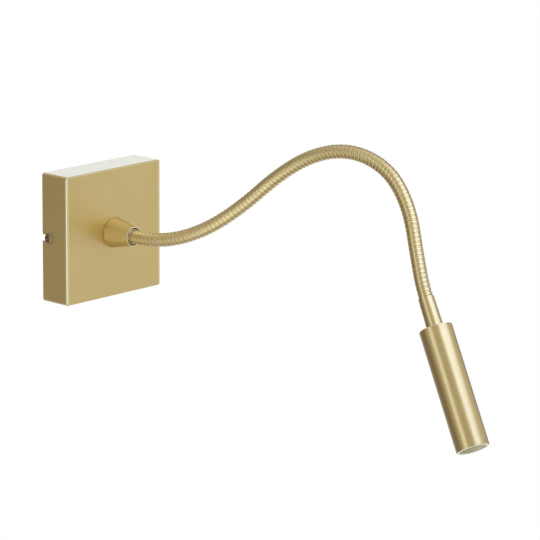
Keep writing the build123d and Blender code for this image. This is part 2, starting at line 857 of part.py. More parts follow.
# Heat sink: a grooved slug pressed into the tube, with holes for the LED wires
with BuildPart() as heat_sink:
    with BuildSketch(head_frame.offset(sink_back)):
        Circle(head_bore - heat_sink_fit)
        with Locations((-led_wire_offset, 0), (led_wire_offset, 0)):
            Circle(led_wire_radius + led_wire_gap, mode=Mode.SUBTRACT)
    extrude(amount=heat_sink_length)
    for groove in range(sink_grooves):
        with BuildSketch(head_frame.offset(sink_back + (groove + 1) * sink_groove_pitch)):
            Circle(head_radius)
            Circle(head_bore - heat_sink_fit - sink_groove_depth, mode=Mode.SUBTRACT)
        extrude(amount=sink_groove_width, mode=Mode.SUBTRACT)
    with BuildSketch(head_frame.offset(board_back)):
        with Locations((0, -board_screw_offset), (0, board_screw_offset)):
            Circle(board_screw_radius + neck_fit)
    extrude(amount=-sink_hole_depth, mode=Mode.SUBTRACT)
save(heat_sink.part, "heat_sink")

# LED board, LED and the two screws that hold the board
with BuildPart() as led_board:
    with BuildSketch(head_frame.offset(board_back)):
        Circle(board_radius)
        with PolarLocations(board_radius - board_notch_inset, board_notches):
            Circle(board_notch_radius, mode=Mode.SUBTRACT)
        with Locations((0, -board_screw_offset), (0, board_screw_offset)):
            Circle(board_screw_radius + board_screw_play, mode=Mode.SUBTRACT)
    extrude(amount=board_thickness)
save(led_board.part, "led_board")

with BuildPart() as led_emitter:
    with BuildSketch(head_frame.offset(board_front)):
        Rectangle(led_size, led_size)
    extrude(amount=led_height)
    with Locations(head_frame.offset(board_front + led_height).location):
        Sphere(led_dome_radius, arc_size1=0)
save(led_emitter.part, "led_emitter")

with BuildPart() as board_screws:
    with BuildSketch(head_frame.offset(board_front)):
        with Locations((0, -board_screw_offset), (0, board_screw_offset)):
            Circle(board_screw_head)
    extrude(amount=board_screw_head_height)
    with BuildSketch(head_frame.offset(board_front)):
        with Locations((0, -board_screw_offset), (0, board_screw_offset)):
            Circle(board_screw_radius)
    extrude(amount=-(board_thickness + board_screw_depth))
    with BuildSketch(head_frame.offset(board_front + board_screw_head_height)):
        with Locations((0, -board_screw_offset), (0, board_screw_offset)):
            Rectangle(board_recess_span, board_recess_width)
            Rectangle(board_recess_width, board_recess_span)
    extrude(amount=-board_recess_depth, mode=Mode.SUBTRACT)
save(board_screws.part, "board_screws")

# Lens with its holder and the ring that keeps it in
flange_back = lens_front - lens_flange
with BuildPart() as lens_holder:
    with BuildSketch(head_frame.offset(board_front)):
        Circle(head_bore - holder_gap)
        Circle(head_bore - holder_gap - holder_wall, mode=Mode.SUBTRACT)
    extrude(amount=flange_back - board_front)
save(lens_holder.part, "lens_holder")

lens_back = lens_front - lens_height
lens_radius = head_bore - lens_edge_gap
with BuildPart() as lens:
    with BuildSketch(half_plane(head_frame)):
        with BuildLine():
            Polyline(
                (0, lens_front),
                (lens_radius, lens_front),
                (lens_radius, flange_back),
                (lens_radius - lens_flange_width, flange_back),
                (lens_back_radius, lens_back),
                (led_dome_radius + lens_pocket_gap + lens_pocket_taper, lens_back),
                (led_dome_radius + lens_pocket_gap, lens_back + lens_pocket_depth),
                (0, lens_back + lens_pocket_depth),
                close=True,
            )
        make_face()
    revolve(axis=normal_axis(head_frame))
save(lens.part, "lens")

with BuildPart() as lens_ring:
    with BuildSketch(half_plane(head_frame)):
        with BuildLine():
            Polyline(
                (lens_ring_bore, lens_front),
                (head_bore - heat_sink_fit, lens_front),
                (head_bore - heat_sink_fit, ring_front),
                (lens_ring_bore + lens_ring_chamfer, ring_front),
                (lens_ring_bore, ring_front - lens_ring_chamfer),
                close=True,
            )
        make_face()
    revolve(axis=normal_axis(head_frame))
save(lens_ring.part, "lens_ring")

# LED wires: from the lead's end through the heat sink to the front of the board
wire_rest = board_front + led_wire_radius + 0.1
with BuildPart() as led_wires:
    for side in (-1, 1):
        wire_points = [
            (side * 1.0, head_lead_end),
            (side * 1.0, head_lead_end + 5.0),
            (side * led_wire_offset, sink_back - 4.0),
            (side * led_wire_offset, wire_rest),
            (side * (board_screw_offset - 2.0), wire_rest),
        ]
        with BuildLine():
            FilletPolyline(
                *[head_frame.from_local_coords(Vector(across, 0, along)) for across, along in wire_points],
                radius=1.0,
            )
        with BuildSketch(head_frame.offset(head_lead_end)):
            with Locations((side * 1.0, 0)):
                Circle(led_wire_radius)
        sweep()
save(led_wires.part, "led_wires")
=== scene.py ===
"""Looks of an LED wall light: a satin gold base box, a wound flexible neck and a turned spot head.

Lengths are in metres. The wall is the plane Y = 0, X runs to the right for someone facing it and Z runs up,
so the light reaches out along -Y.
"""
import json
import logging
import math
from collections.abc import Callable, Sequence
from dataclasses import dataclass, field
from enum import Enum

import bmesh
import bpy
from mathutils import Matrix, Quaternion, Vector

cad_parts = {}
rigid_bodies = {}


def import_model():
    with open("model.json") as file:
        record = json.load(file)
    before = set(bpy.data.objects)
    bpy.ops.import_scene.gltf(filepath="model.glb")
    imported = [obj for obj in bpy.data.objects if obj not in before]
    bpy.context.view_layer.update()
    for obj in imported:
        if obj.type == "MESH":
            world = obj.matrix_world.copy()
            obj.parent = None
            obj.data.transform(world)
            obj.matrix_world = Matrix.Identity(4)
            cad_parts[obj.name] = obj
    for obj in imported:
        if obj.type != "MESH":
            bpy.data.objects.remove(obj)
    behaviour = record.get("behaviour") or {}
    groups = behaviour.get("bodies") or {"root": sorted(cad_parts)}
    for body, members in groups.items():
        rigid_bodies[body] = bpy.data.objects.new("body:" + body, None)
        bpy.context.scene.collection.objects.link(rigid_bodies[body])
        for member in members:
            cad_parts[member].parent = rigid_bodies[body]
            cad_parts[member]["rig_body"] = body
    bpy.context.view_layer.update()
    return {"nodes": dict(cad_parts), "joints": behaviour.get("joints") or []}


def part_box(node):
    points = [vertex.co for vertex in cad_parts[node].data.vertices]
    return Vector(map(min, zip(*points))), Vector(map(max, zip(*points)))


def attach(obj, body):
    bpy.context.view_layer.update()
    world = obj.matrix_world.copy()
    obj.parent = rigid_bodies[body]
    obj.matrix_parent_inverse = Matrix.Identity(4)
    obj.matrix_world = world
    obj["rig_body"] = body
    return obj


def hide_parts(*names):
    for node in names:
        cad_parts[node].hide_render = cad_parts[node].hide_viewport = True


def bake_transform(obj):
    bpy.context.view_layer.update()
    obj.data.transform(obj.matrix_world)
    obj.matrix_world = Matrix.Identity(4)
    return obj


log = logging.getLogger("wall_light")

Colour = tuple[float, float, float]
Outline = list[tuple[float, float]]
# share of bare metal and painted highlight at a radius and height
BareAndSheenShare = Callable[[float, float], float]
Ring = list[bmesh.types.BMVert]

MM = 0.001
OUT = Vector((0, -1, 0))

# Edges that bend more than these angles stay crisp
CRISP_ANGLE = math.radians(35)
WIRE_CRISP_ANGLE = math.radians(50)

# Largest share of a side that the rounding of one corner takes
CORNER_SHARE = 0.45

# Make of the noise in every finish, and the span that most of its values lie in
NOISE_DETAIL = 2.0
NOISE_ROUGHNESS = 0.55
NOISE_MIDDLE = 0.5
NOISE_SPAN = (0.3, 0.7)


class Grain(Enum):
    """Way in which a finish's fine marks run over a piece, with the scale that draws them out."""

    EVEN = 1.0
    TURNED = 0.02
    DRAWN = 0.04


class Term:
    """A node socket that adds Math or Vector Math nodes when it is used in an expression."""

    def __init__(self, web: "NodeWeb", socket: bpy.types.NodeSocket) -> None:
        """Wraps one output socket of a tree."""
        self.web = web
        self.socket = socket

    def _join(self, operation: str, left: object, right: object) -> "Term":
        """Adds the node for one operation.

        Args:
            operation: Name of the operation, the same in Math and Vector Math nodes.
            left: First value or term.
            right: Second value or term.

        Returns:
            The term for the node's result.
        """
        vector = any(isinstance(side, Term) and side.socket.type == "VECTOR" for side in (left, right))
        kind = "ShaderNodeVectorMath" if vector else "ShaderNodeMath"
        return self.web.term(kind, {"operation": operation}, {0: left, 1: right})

    def __add__(self, other: object) -> "Term":
        """Adds a value or term."""
        return self._join("ADD", self, other)

    def __radd__(self, other: object) -> "Term":
        """Adds this term to a value."""
        return self._join("ADD", other, self)

    def __sub__(self, other: object) -> "Term":
        """Takes a value or term away."""
        return self._join("SUBTRACT", self, other)

    def __rsub__(self, other: object) -> "Term":
        """Takes this term from a value."""
        return self._join("SUBTRACT", other, self)

    def __mul__(self, other: object) -> "Term":
        """Multiplies by a value or term.

        Args:
            other: A number or a vector; a number scales a vector.

        Returns:
            The term for the product.
        """
        number = not (isinstance(other, Term) and other.socket.type == "VECTOR")
        if self.socket.type == "VECTOR" and number:
            return self.web.term("ShaderNodeVectorMath", {"operation": "SCALE"}, {0: self, "Scale": other})
        return self._join("MULTIPLY", self, other)

    def __rmul__(self, other: object) -> "Term":
        """Multiplies a value by this term."""
        return self * other

    def __truediv__(self, other: object) -> "Term":
        """Divides by a value or term."""
        return self._join("DIVIDE", self, other)

    def __rtruediv__(self, other: object) -> "Term":
        """Divides a value by this term."""
        return self._join("DIVIDE", other, self)

    def ramp(self, low: float, high: float) -> "Term":
        """Goes smoothly from 0 at low to 1 at high."""
        values = {"Value": self, "From Min": low, "From Max": high}
        return self.web.term("ShaderNodeMapRange", {"interpolation_type": "SMOOTHSTEP"}, values)

    def function(self, operation: str, other: float = 0.0) -> "Term":
        """Gives a Math function of this term, such as SINE or MAXIMUM."""
        return self.web.term("ShaderNodeMath", {"operation": operation}, {0: self, 1: other})

    def measure(self, operation: str, other: object) -> "Term":
        """Gives the number that a Vector Math operation makes of this term and a vector."""
        return self.web.term("ShaderNodeVectorMath", {"operation": operation}, {0: self, 1: other}, "Value")

    def dot(self, other: object) -> "Term":
        """Gives the dot product with a vector."""
        return self.measure("DOT_PRODUCT", other)

    def distance(self, other: object) -> "Term":
        """Gives the distance to a point."""
        return self.measure("DISTANCE", other)

    def cross(self, other: object) -> "Term":
        """Gives the cross product with a vector."""
        return self._join("CROSS_PRODUCT", self, other)


class NodeWeb:
    """Adds and links the nodes of one tree, a shader's or a modifier's."""

    def __init__(self, tree: bpy.types.NodeTree) -> None:
        """Works on a tree that exists."""
        self.tree = tree

    @classmethod
    def fresh(cls, owner: bpy.types.Material | bpy.types.World) -> "NodeWeb":
        """Empties the node tree of a material or world.

        Args:
            owner: The material or world.

        Returns:
            Its empty tree, ready for nodes.
        """
        owner.use_nodes = True
        owner.node_tree.nodes.clear()
        return cls(owner.node_tree)

    def add(self, kind: str, settings: dict | None = None, values: dict | None = None) -> bpy.types.Node:
        """Adds one node.

        Args:
            kind: The node's type.
            settings: Its properties, such as a Math node's operation, set before its sockets.
            values: Numbers, colours or terms for its input sockets, by name or number.

        Returns:
            The new node.
        """
        node = self.tree.nodes.new(kind)
        for name, value in (settings or {}).items():
            setattr(node, name, value)
        for name, value in (values or {}).items():
            self.feed(node.inputs[name], value)
        return node

    def feed(self, socket: bpy.types.NodeSocket, value: object) -> None:
        """Links a term to a socket, or sets a plain value on it.

        Args:
            socket: An input socket.
            value: A term, or a number, vector or colour.
        """
        if isinstance(value, Term):
            self.tree.links.new(value.socket, socket)
        elif socket.type == "RGBA":
            socket.default_value = (*value[:3], 1.0)
        else:
            socket.default_value = value

    def term(
        self, kind: str, settings: dict | None = None, values: dict | None = None, output: int | str = 0
    ) -> Term:
        """Adds one node and gives one of its outputs as a term."""
        return Term(self, self.add(kind, settings, values).outputs[output])

    def mix(self, share: object, first: object, second: object) -> Term:
        """Mixes two colours."""
        values = {0: share, 6: first, 7: second}
        return self.term("ShaderNodeMix", {"data_type": "RGBA"}, values, 2)

    def object_place(self) -> Term:
        """Gives the object coordinates."""
        return self.term("ShaderNodeTexCoord", None, None, "Object")

    def attribute(self, name: str) -> Term:
        """Gives a number that the mesh carries."""
        return self.term("ShaderNodeAttribute", {"attribute_name": name}, None, "Fac")

    def camera_ray(self) -> Term:
        """Gives 1 for what the camera sees directly and 0 for what only lights it."""
        return self.term("ShaderNodeLightPath", None, None, "Is Camera Ray")

    def noise(self, place: Term, size: float) -> Term:
        """Gives noise of about 0 to 1 whose marks are about one size across."""
        values = {"Vector": place, "Scale": 1.0 / size, "Detail": NOISE_DETAIL, "Roughness": NOISE_ROUGHNESS}
        return self.term("ShaderNodeTexNoise", {"noise_dimensions": "3D"}, values)


@dataclass(frozen=True)
class Finish:
    """A surface finish with colour drift, fine grain and polish that vary over the piece."""

    name: str
    colour: Colour
    second: Colour
    roughness: float
    metallic: float = 0.0
    coat: float = 0.0
    coat_roughness: float = 0.2
    coat_ior: float = 1.5
    specular: float = 0.5
    drift_size: float = 25 * MM
    drift_roughness: float = 0.06
    grain: Grain = Grain.EVEN
    grain_size: float = 0.35 * MM
    grain_roughness: float = 0.08
    grain_colour: float = 0.25
    bump: float = 0.10
    bump_depth: float = 0.02 * MM

    def place(self, web: NodeWeb) -> Term:
        """Gives the coordinates that the fine grain follows.

        Args:
            web: The material's nodes.

        Returns:
            Object coordinates, stretched ones for a drawn sheet, or the turned piece's own map.
        """
        turned = self.grain is Grain.TURNED
        place = web.term("ShaderNodeUVMap", {"uv_map": "turning"}) if turned else web.object_place()
        if self.grain is Grain.EVEN:
            return place
        return web.term("ShaderNodeMapping", None, {"Vector": place, "Scale": (self.grain.value, 1.0, 1.0)})

    def shade(self, web: NodeWeb, drift: Term, grain: Term) -> Term:
        """Gives the base colour.

        Args:
            web: The material's nodes.
            drift: Slow noise over the piece.
            grain: Fine noise along the grain.

        Returns:
            The two colours mixed by both.
        """
        slow = drift.ramp(*NOISE_SPAN) * (1.0 - self.grain_colour)
        share = slow + grain.ramp(*NOISE_SPAN) * self.grain_colour
        return web.mix(share, self.colour, self.second)

    def polish(self, web: NodeWeb, drift: Term, grain: Term) -> Term:
        """Gives the roughness, a little higher and lower along the grain and over the piece."""
        fine = (grain - NOISE_MIDDLE) * (2.0 * self.grain_roughness)
        return fine + (drift - NOISE_MIDDLE) * self.drift_roughness + self.roughness

    def set_even(self, shader: bpy.types.Node) -> None:
        """Sets the values that are the same all over the piece.

        Args:
            shader: The material's shader.
        """
        shader.inputs["Metallic"].default_value = self.metallic
        shader.inputs["Coat Weight"].default_value = self.coat
        shader.inputs["Coat Roughness"].default_value = self.coat_roughness
        shader.inputs["Coat IOR"].default_value = self.coat_ior
        shader.inputs["Specular IOR Level"].default_value = self.specular

    def material(self) -> bpy.types.Material:
        """Gives the material, and makes it on first use.

        Returns:
            The material named after the finish.
        """
        made = bpy.data.materials.get(f"{self.name}_finish")
        if made:
            return made
        made = bpy.data.materials.new(f"{self.name}_finish")
        web = NodeWeb.fresh(made)
        drift = web.noise(web.object_place(), self.drift_size)
        grain = web.noise(self.place(web), self.grain_size)
        height = {"Strength": self.bump, "Distance": self.bump_depth, "Height": grain}
        values = {
            "Base Color": self.shade(web, drift, grain),
            "Roughness": self.polish(web, drift, grain),
            "Normal": web.term("ShaderNodeBump", None, height),
        }
        shader = web.add("ShaderNodeBsdfPrincipled", None, values)
        self.set_even(shader)
        web.add("ShaderNodeOutputMaterial", None, {"Surface": Term(web, shader.outputs[0])})
        return made


@dataclass(frozen=True)
class WoundGold(Finish):
    """Gold on wound wire, darkened by painted shade in the grooves between the wires."""

    # colour of the painted shade in the grooves
    groove_shade: Colour = (0.60, 0.44, 0.165)
    groove_shade_end: float = 0.6

    def shade(self, web: NodeWeb, drift: Term, grain: Term) -> Term:
        """Gives the base colour, darkened towards the grooves by painted shade that follows the wire's height
        attribute.
        """
        crest = web.attribute("crest").ramp(0.0, self.groove_shade_end)
        return web.mix(crest, self.groove_shade, super().shade(web, drift, grain))


@dataclass(frozen=True)
class EdgedGold(Finish):
    """Gold on pressed sheet, paler along the upright edges, partly for thin lacquer and partly as a painted
    highlight.
    """

    # paler colour of the upright edges, partly thin lacquer and partly a painted highlight
    edge: Colour = (0.93, 0.85, 0.50)
    edge_wear_and_sheen_share: float = 0.8

    def shade(self, web: NodeWeb, drift: Term, grain: Term) -> Term:
        """Gives the base colour, lightened by the sheet's edge attribute: thin lacquer and a painted
        highlight.
        """
        thin = web.attribute("edge") * self.edge_wear_and_sheen_share
        return web.mix(thin, super().shade(web, drift, grain), self.edge)


@dataclass(frozen=True)
class TurnedGold(Finish):
    """Gold on turned pieces with fine lines round them, paler where a piece is left bare and where a
    highlight is painted on.
    """

    grain: Grain = Grain.TURNED
    grain_size: float = 0.16 * MM
    grain_roughness: float = 0.03
    grain_colour: float = 0.1
    bump: float = 0.02
    # pale colour of bare metal, brightened further as a painted highlight on lips, rims and the bore
    bare: Colour = (0.99, 0.95, 0.76)
    bare_roughness: float = 0.32

    def shade(self, web: NodeWeb, drift: Term, grain: Term) -> Term:
        """Gives the base colour, lightened by the piece's bare attribute, which marks bare metal and painted
        highlights.
        """
        return web.mix(web.attribute("bare"), super().shade(web, drift, grain), self.bare)

    def polish(self, web: NodeWeb, drift: Term, grain: Term) -> Term:
        """Gives the roughness, higher where the piece is bare."""
        return web.attribute("bare") * self.bare_roughness + super().polish(web, drift, grain)


@dataclass(frozen=True)
class Spangle(Finish):
    """Zinc plate with faint crystals and a slight straw tint."""

    crystal_size: float = 3.5 * MM
    crystal_share: float = 0.35

    def shade(self, web: NodeWeb, drift: Term, grain: Term) -> Term:
        """Gives the base colour, a little different from crystal to crystal.

        Args:
            web: The material's nodes.
            drift: Slow noise over the piece.
            grain: Fine noise along the grain.

        Returns:
            The plain colour with the second one mixed in by crystals.
        """
        cell = {"Vector": web.object_place(), "Scale": 1.0 / self.crystal_size}
        crystals = web.term("ShaderNodeTexVoronoi", None, cell, "Color")
        grey = web.term("ShaderNodeRGBToBW", None, {"Color": crystals})
        return web.mix(grey * self.crystal_share, super().shade(web, drift, grain), self.second)


@dataclass(frozen=True)
class Striped(Finish):
    """Earth wire: green insulation with two lengthwise yellow stripes."""

    stripe: Colour = (0.78, 0.62, 0.03)
    stripe_start: float = 0.62
    stripe_full: float = 0.68

    def shade(self, web: NodeWeb, drift: Term, grain: Term) -> Term:
        """Gives the base colour, yellow on the sides that face the wall and the room.

        Args:
            web: The material's nodes.
            drift: Slow noise over the piece.
            grain: Fine noise along the grain.

        Returns:
            The plain colour with the stripes over it.
        """
        facing = web.term("ShaderNodeTexCoord", None, None, "Normal")
        out = web.term("ShaderNodeSeparateXYZ", None, {"Vector": facing}, "Y").function("ABSOLUTE")
        stripes = out.ramp(self.stripe_start, self.stripe_full)
        return web.mix(stripes, super().shade(web, drift, grain), self.stripe)


@dataclass(frozen=True)
class ClearPlastic(Finish):
    """Clear moulded plastic."""

    ior: float = 1.49

    def set_even(self, shader: bpy.types.Node) -> None:
        """Sets the values that are the same all over the piece, with light passing through.

        Args:
            shader: The material's shader.
        """
        super().set_even(shader)
        shader.inputs["Transmission Weight"].default_value = 1.0
        shader.inputs["IOR"].default_value = self.ior


GOLD: Colour = (0.700, 0.525, 0.190)
GOLD_DEEP: Colour = (0.670, 0.495, 0.172)
WOUND_GOLD: Colour = (0.722, 0.555, 0.214)
WOUND_GOLD_DEEP: Colour = (0.693, 0.527, 0.195)
SATIN_GOLD: Colour = (0.670, 0.495, 0.168)
SATIN_GOLD_DEEP: Colour = (0.645, 0.470, 0.152)
SHEET_GOLD: Colour = (0.775, 0.600, 0.220)
SHEET_GOLD_DEEP: Colour = (0.750, 0.575, 0.205)

FINISHES: dict[str, Finish] = {
    finish.name: finish
    for finish in (
        EdgedGold(
            "gold_sheet",
            SHEET_GOLD,
            SHEET_GOLD_DEEP,
            0.40,
            1.0,
            coat=1.0,
            coat_roughness=0.25,
            coat_ior=1.8,
            grain_size=0.25 * MM,
        ),
        TurnedGold("gold_turned", GOLD, GOLD_DEEP, 0.36, 1.0, coat=1.0, coat_roughness=0.16, coat_ior=1.9),
        TurnedGold(
            "gold_satin",
            SATIN_GOLD,
            SATIN_GOLD_DEEP,
            0.56,
            1.0,
            coat=0.5,
            coat_roughness=0.3,
            coat_ior=1.6,
        ),
        WoundGold(
            "gold_wound",
            WOUND_GOLD,
            WOUND_GOLD_DEEP,
            0.34,
            1.0,
            coat=1.0,
            coat_roughness=0.16,
            coat_ior=1.9,
            drift_size=18 * MM,
            grain_roughness=0.04,
        ),
        Spangle("zinc_steel", (0.55, 0.56, 0.57), (0.46, 0.45, 0.41), 0.36, 1.0, drift_size=9 * MM),
        Finish("bronzed_steel", (0.400, 0.325, 0.190), (0.300, 0.240, 0.135), 0.36, 1.0, drift_size=2 * MM),
        Finish("brass", (0.62, 0.45, 0.20), (0.53, 0.36, 0.14), 0.28, 1.0, drift_size=4 * MM),
        Finish("black_rubber", (0.018, 0.018, 0.019), (0.030, 0.029, 0.028), 0.62, specular=0.35, bump=0.25),
        Finish("white_plastic", (0.76, 0.76, 0.73), (0.69, 0.69, 0.66), 0.42, grain_size=0.5 * MM, bump=0.18),
        Finish(
            "grey_foam",
            (0.22, 0.22, 0.22),
            (0.12, 0.12, 0.12),
            0.9,
            grain_size=0.4 * MM,
            bump=0.9,
            bump_depth=0.2 * MM,
        ),
        Finish(
            "green_laminate", (0.020, 0.125, 0.045), (0.030, 0.170, 0.060), 0.32, coat=0.4, drift_size=3 * MM
        ),
        Finish(
            "yellow_tape", (0.72, 0.50, 0.05), (0.62, 0.42, 0.04), 0.30, drift_size=4 * MM, grain=Grain.DRAWN
        ),
        Finish("black_plastic", (0.022, 0.022, 0.023), (0.032, 0.031, 0.030), 0.40, bump=0.15),
        Finish("brown_wire", (0.135, 0.052, 0.022), (0.170, 0.068, 0.030), 0.36, drift_size=6 * MM),
        Finish("blue_wire", (0.030, 0.105, 0.420), (0.040, 0.135, 0.480), 0.36, drift_size=6 * MM),
        Striped("green_wire", (0.035, 0.250, 0.045), (0.045, 0.300, 0.060), 0.36, drift_size=6 * MM),
        Finish("red_wire", (0.480, 0.030, 0.022), (0.550, 0.045, 0.030), 0.36, drift_size=6 * MM),
        Finish("plain_aluminium", (0.66, 0.66, 0.66), (0.58, 0.58, 0.59), 0.34, 1.0, drift_size=5 * MM),
        Finish("white_aluminium", (0.82, 0.82, 0.80), (0.76, 0.76, 0.74), 0.38, coat=0.3, drift_size=4 * MM),
        Finish("phosphor", (0.86, 0.66, 0.10), (0.80, 0.58, 0.07), 0.24, coat=0.6, drift_size=1 * MM),
        ClearPlastic(
            "clear_plastic", (0.97, 0.97, 0.96), (0.94, 0.95, 0.95), 0.06, grain_size=0.9 * MM, bump=0.2
        ),
    )
}


def rounded(outline: Outline, radius: float, steps: int = 4) -> Outline:
    """Rounds every corner of a closed outline.

    Args:
        outline: Corner points in order.
        radius: Radius of the rounding, made smaller where a side is too short for it.
        steps: Straight pieces in each rounding.

    Returns:
        The points of the rounded outline.
    """
    points: Outline = []
    count = len(outline)
    for number in range(count):
        corner = Vector(outline[number])
        before = Vector(outline[number - 1]) - corner
        after = Vector(outline[(number + 1) % count]) - corner
        half = before.angle(after) / 2
        reach = min(radius / math.tan(half), CORNER_SHARE * before.length, CORNER_SHARE * after.length)
        middle = corner + (before.normalized() + after.normalized()).normalized() * (reach / math.cos(half))
        first = corner + before.normalized() * reach - middle
        last = corner + after.normalized() * reach - middle
        for step in range(steps + 1):
            point = middle + first.lerp(last, step / steps).normalized() * first.length
            points.append((point.x, point.y))
    return points


def linked(name: str, data: bpy.types.ID) -> bpy.types.Object:
    """Adds an object to the scene.

    Args:
        name: Name of the object.
        data: Its mesh, lamp or camera.

    Returns:
        The new object.
    """
    made = bpy.data.objects.new(name, data)
    bpy.context.scene.collection.objects.link(made)
    return made


def crisp(mesh: bpy.types.Mesh, angle: float = CRISP_ANGLE) -> None:
    """Shades a mesh smoothly and keeps edges above an angle crisp."""
    mesh.shade_smooth()
    mesh.set_sharp_from_angle(angle=angle)


def make_object(name: str, mesh: bpy.types.Mesh) -> bpy.types.Object:
    """Adds an object with smooth shading and crisp edges.

    Args:
        name: Name of the piece.
        mesh: Its mesh, in place.

    Returns:
        The new object.
    """
    mesh.name = name
    crisp(mesh)
    return linked(name, mesh)


def mesh_of(name: str, built: bmesh.types.BMesh) -> bpy.types.Mesh:
    """Ends the building of a mesh.

    Args:
        name: Name of the mesh.
        built: What was built, which is freed.

    Returns:
        The finished mesh.
    """
    mesh = bpy.data.meshes.new(name)
    built.to_mesh(mesh)
    built.free()
    return mesh


def skin(built: bmesh.types.BMesh, rings: list[Ring], closed: bool = True) -> list[list[bmesh.types.BMFace]]:
    """Lays faces between rings that have the same number of points.

    Args:
        built: What is being built.
        rings: The rings in order.
        closed: Whether the last ring is joined to the first one.

    Returns:
        A row of faces for each ring that is joined to the next one.
    """
    rows = []
    for ring, other in zip(rings, rings[1:] + rings[:1] if closed else rings[1:]):
        pairs = list(zip(ring, other))
        around = zip(pairs, pairs[1:] + pairs[:1])
        rows.append([built.faces.new((a, b, d, c)) for (a, c), (b, d) in around])
    return rows


def applied(made: bpy.types.Object) -> bpy.types.Object:
    """Turns an object's modifiers into its mesh.

    Args:
        made: The object, which keeps its name.

    Returns:
        The same object with a plain mesh and no modifier.
    """
    bpy.context.view_layer.update()
    graph = bpy.context.evaluated_depsgraph_get()
    mesh = bpy.data.meshes.new_from_object(made.evaluated_get(graph), depsgraph=graph)
    made.modifiers.clear()
    old = made.data
    made.data = mesh
    bpy.data.meshes.remove(old)
    mesh.name = made.name
    return made


def even_normals(made: bpy.types.Object) -> bpy.types.Object:
    """Gives flat faces even shading next to their rounded edges.

    Args:
        made: The piece.

    Returns:
        The same piece with its own normals.
    """
    modifier = made.modifiers.new("even normals", "WEIGHTED_NORMAL")
    modifier.keep_sharp = True
    modifier.weight = 100
    return applied(made)


def discard(*objects: bpy.types.Object) -> None:
    """Removes helper objects and their meshes.

    Args:
        objects: The helpers.
    """
    for item in objects:
        mesh = item.data
        bpy.data.objects.remove(item)
        bpy.data.meshes.remove(mesh)


def cut_out(made: bpy.types.Object, cutter: bpy.types.Object, crossing: bool = False) -> None:
    """Cuts one shape out of a piece.

    Args:
        made: The piece.
        cutter: The shape, which is discarded.
        crossing: Whether the cutter's own faces cross one another.
    """
    cut = made.modifiers.new("cut", "BOOLEAN")
    cut.operation = "DIFFERENCE"
    cut.solver = "EXACT"
    cut.use_self = crossing
    cut.object = cutter
    applied(made)
    discard(cutter)


def settle(made: bpy.types.Object, body: str, slot: str, *nodes: str, finish: str = "") -> bpy.types.Object:
    """Dresses a piece, seats it on its body and lets it stand for its solids.

    Args:
        made: The piece, in place.
        body: Body that it moves with.
        slot: Name of its material in the record.
        nodes: Solids that it stands for.
        finish: Name of its finish where that differs from the slot.

    Returns:
        The same piece.
    """
    made.data.materials.clear()
    made.data.materials.append(FINISHES[finish or slot].material())
    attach(made, body)
    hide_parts(*nodes)
    log.info("%s on %s, %d faces", made.name, body, len(made.data.polygons))
    return made


@dataclass
class Turning:
    """Turns pieces about one axis."""

    origin: Vector
    axis: Vector
    sides: int = 144

    def point(self, radius: float, height: float, angle: float) -> Vector:
        """Gives one point of a turned piece.

        Args:
            radius: Distance from the axis.
            height: Distance along the axis.
            angle: Angle round the axis.

        Returns:
            The point.
        """
        across = self.axis.orthogonal().normalized()
        spoke = across * math.cos(angle) + self.axis.cross(across) * math.sin(angle)
        return self.origin + self.axis * height + spoke * radius

    def mesh(self, outline: Outline) -> bpy.types.Mesh:
        """Spins a closed outline of (radius, height) points into a ring-shaped solid.

        Args:
            outline: The outline, which doesn't touch the axis.

        Returns:
            A closed mesh with a map named turning, in metres round and along the surface.
        """
        built = bmesh.new()
        sheet = built.loops.layers.uv.new("turning")
        turn = math.tau / self.sides
        rings = [[built.verts.new(self.point(r, h, turn * k)) for k in range(self.sides)] for r, h in outline]
        low = 0.0
        for row, spot, after in zip(skin(built, rings), outline, outline[1:] + outline[:1]):
            high = low + math.dist(spot, after)
            around = turn * spot[0]
            for k, face in enumerate(row):
                marks = ((k, low), (k + 1, low), (k + 1, high), (k, high))
                for loop, (place, height) in zip(face.loops, marks):
                    loop[sheet].uv = (place * around, height)
            low = high
        bmesh.ops.recalc_face_normals(built, faces=built.faces)
        return mesh_of("turned", built)

    def piece(
        self, name: str, outline: Outline, rounding: float, steps: int = 4, bare: BareAndSheenShare = lambda r, h: 0.0
    ) -> bpy.types.Object:
        """Makes a turned piece with rounded corners.

        Args:
            name: Name of the piece.
            outline: Closed outline of (radius, height) points.
            rounding: Radius of its corners.
            steps: Straight pieces in each rounding.
            bare: Gives the share of bare metal, painted paler as a highlight, at a radius and height.

        Returns:
            The piece, with a bare attribute of bare metal and painted highlight.
        """
        profile = rounded(outline, rounding, steps)
        made = make_object(name, self.mesh(profile))
        store = made.data.attributes.new("bare", "FLOAT", "FACE")
        halfway = [((a + c) / 2, (b + d) / 2) for (a, b), (c, d) in zip(profile, profile[1:] + profile[:1])]
        store.data.foreach_set("value", [bare(r, h) for r, h in halfway for _ in range(self.sides)])
        return even_normals(made)


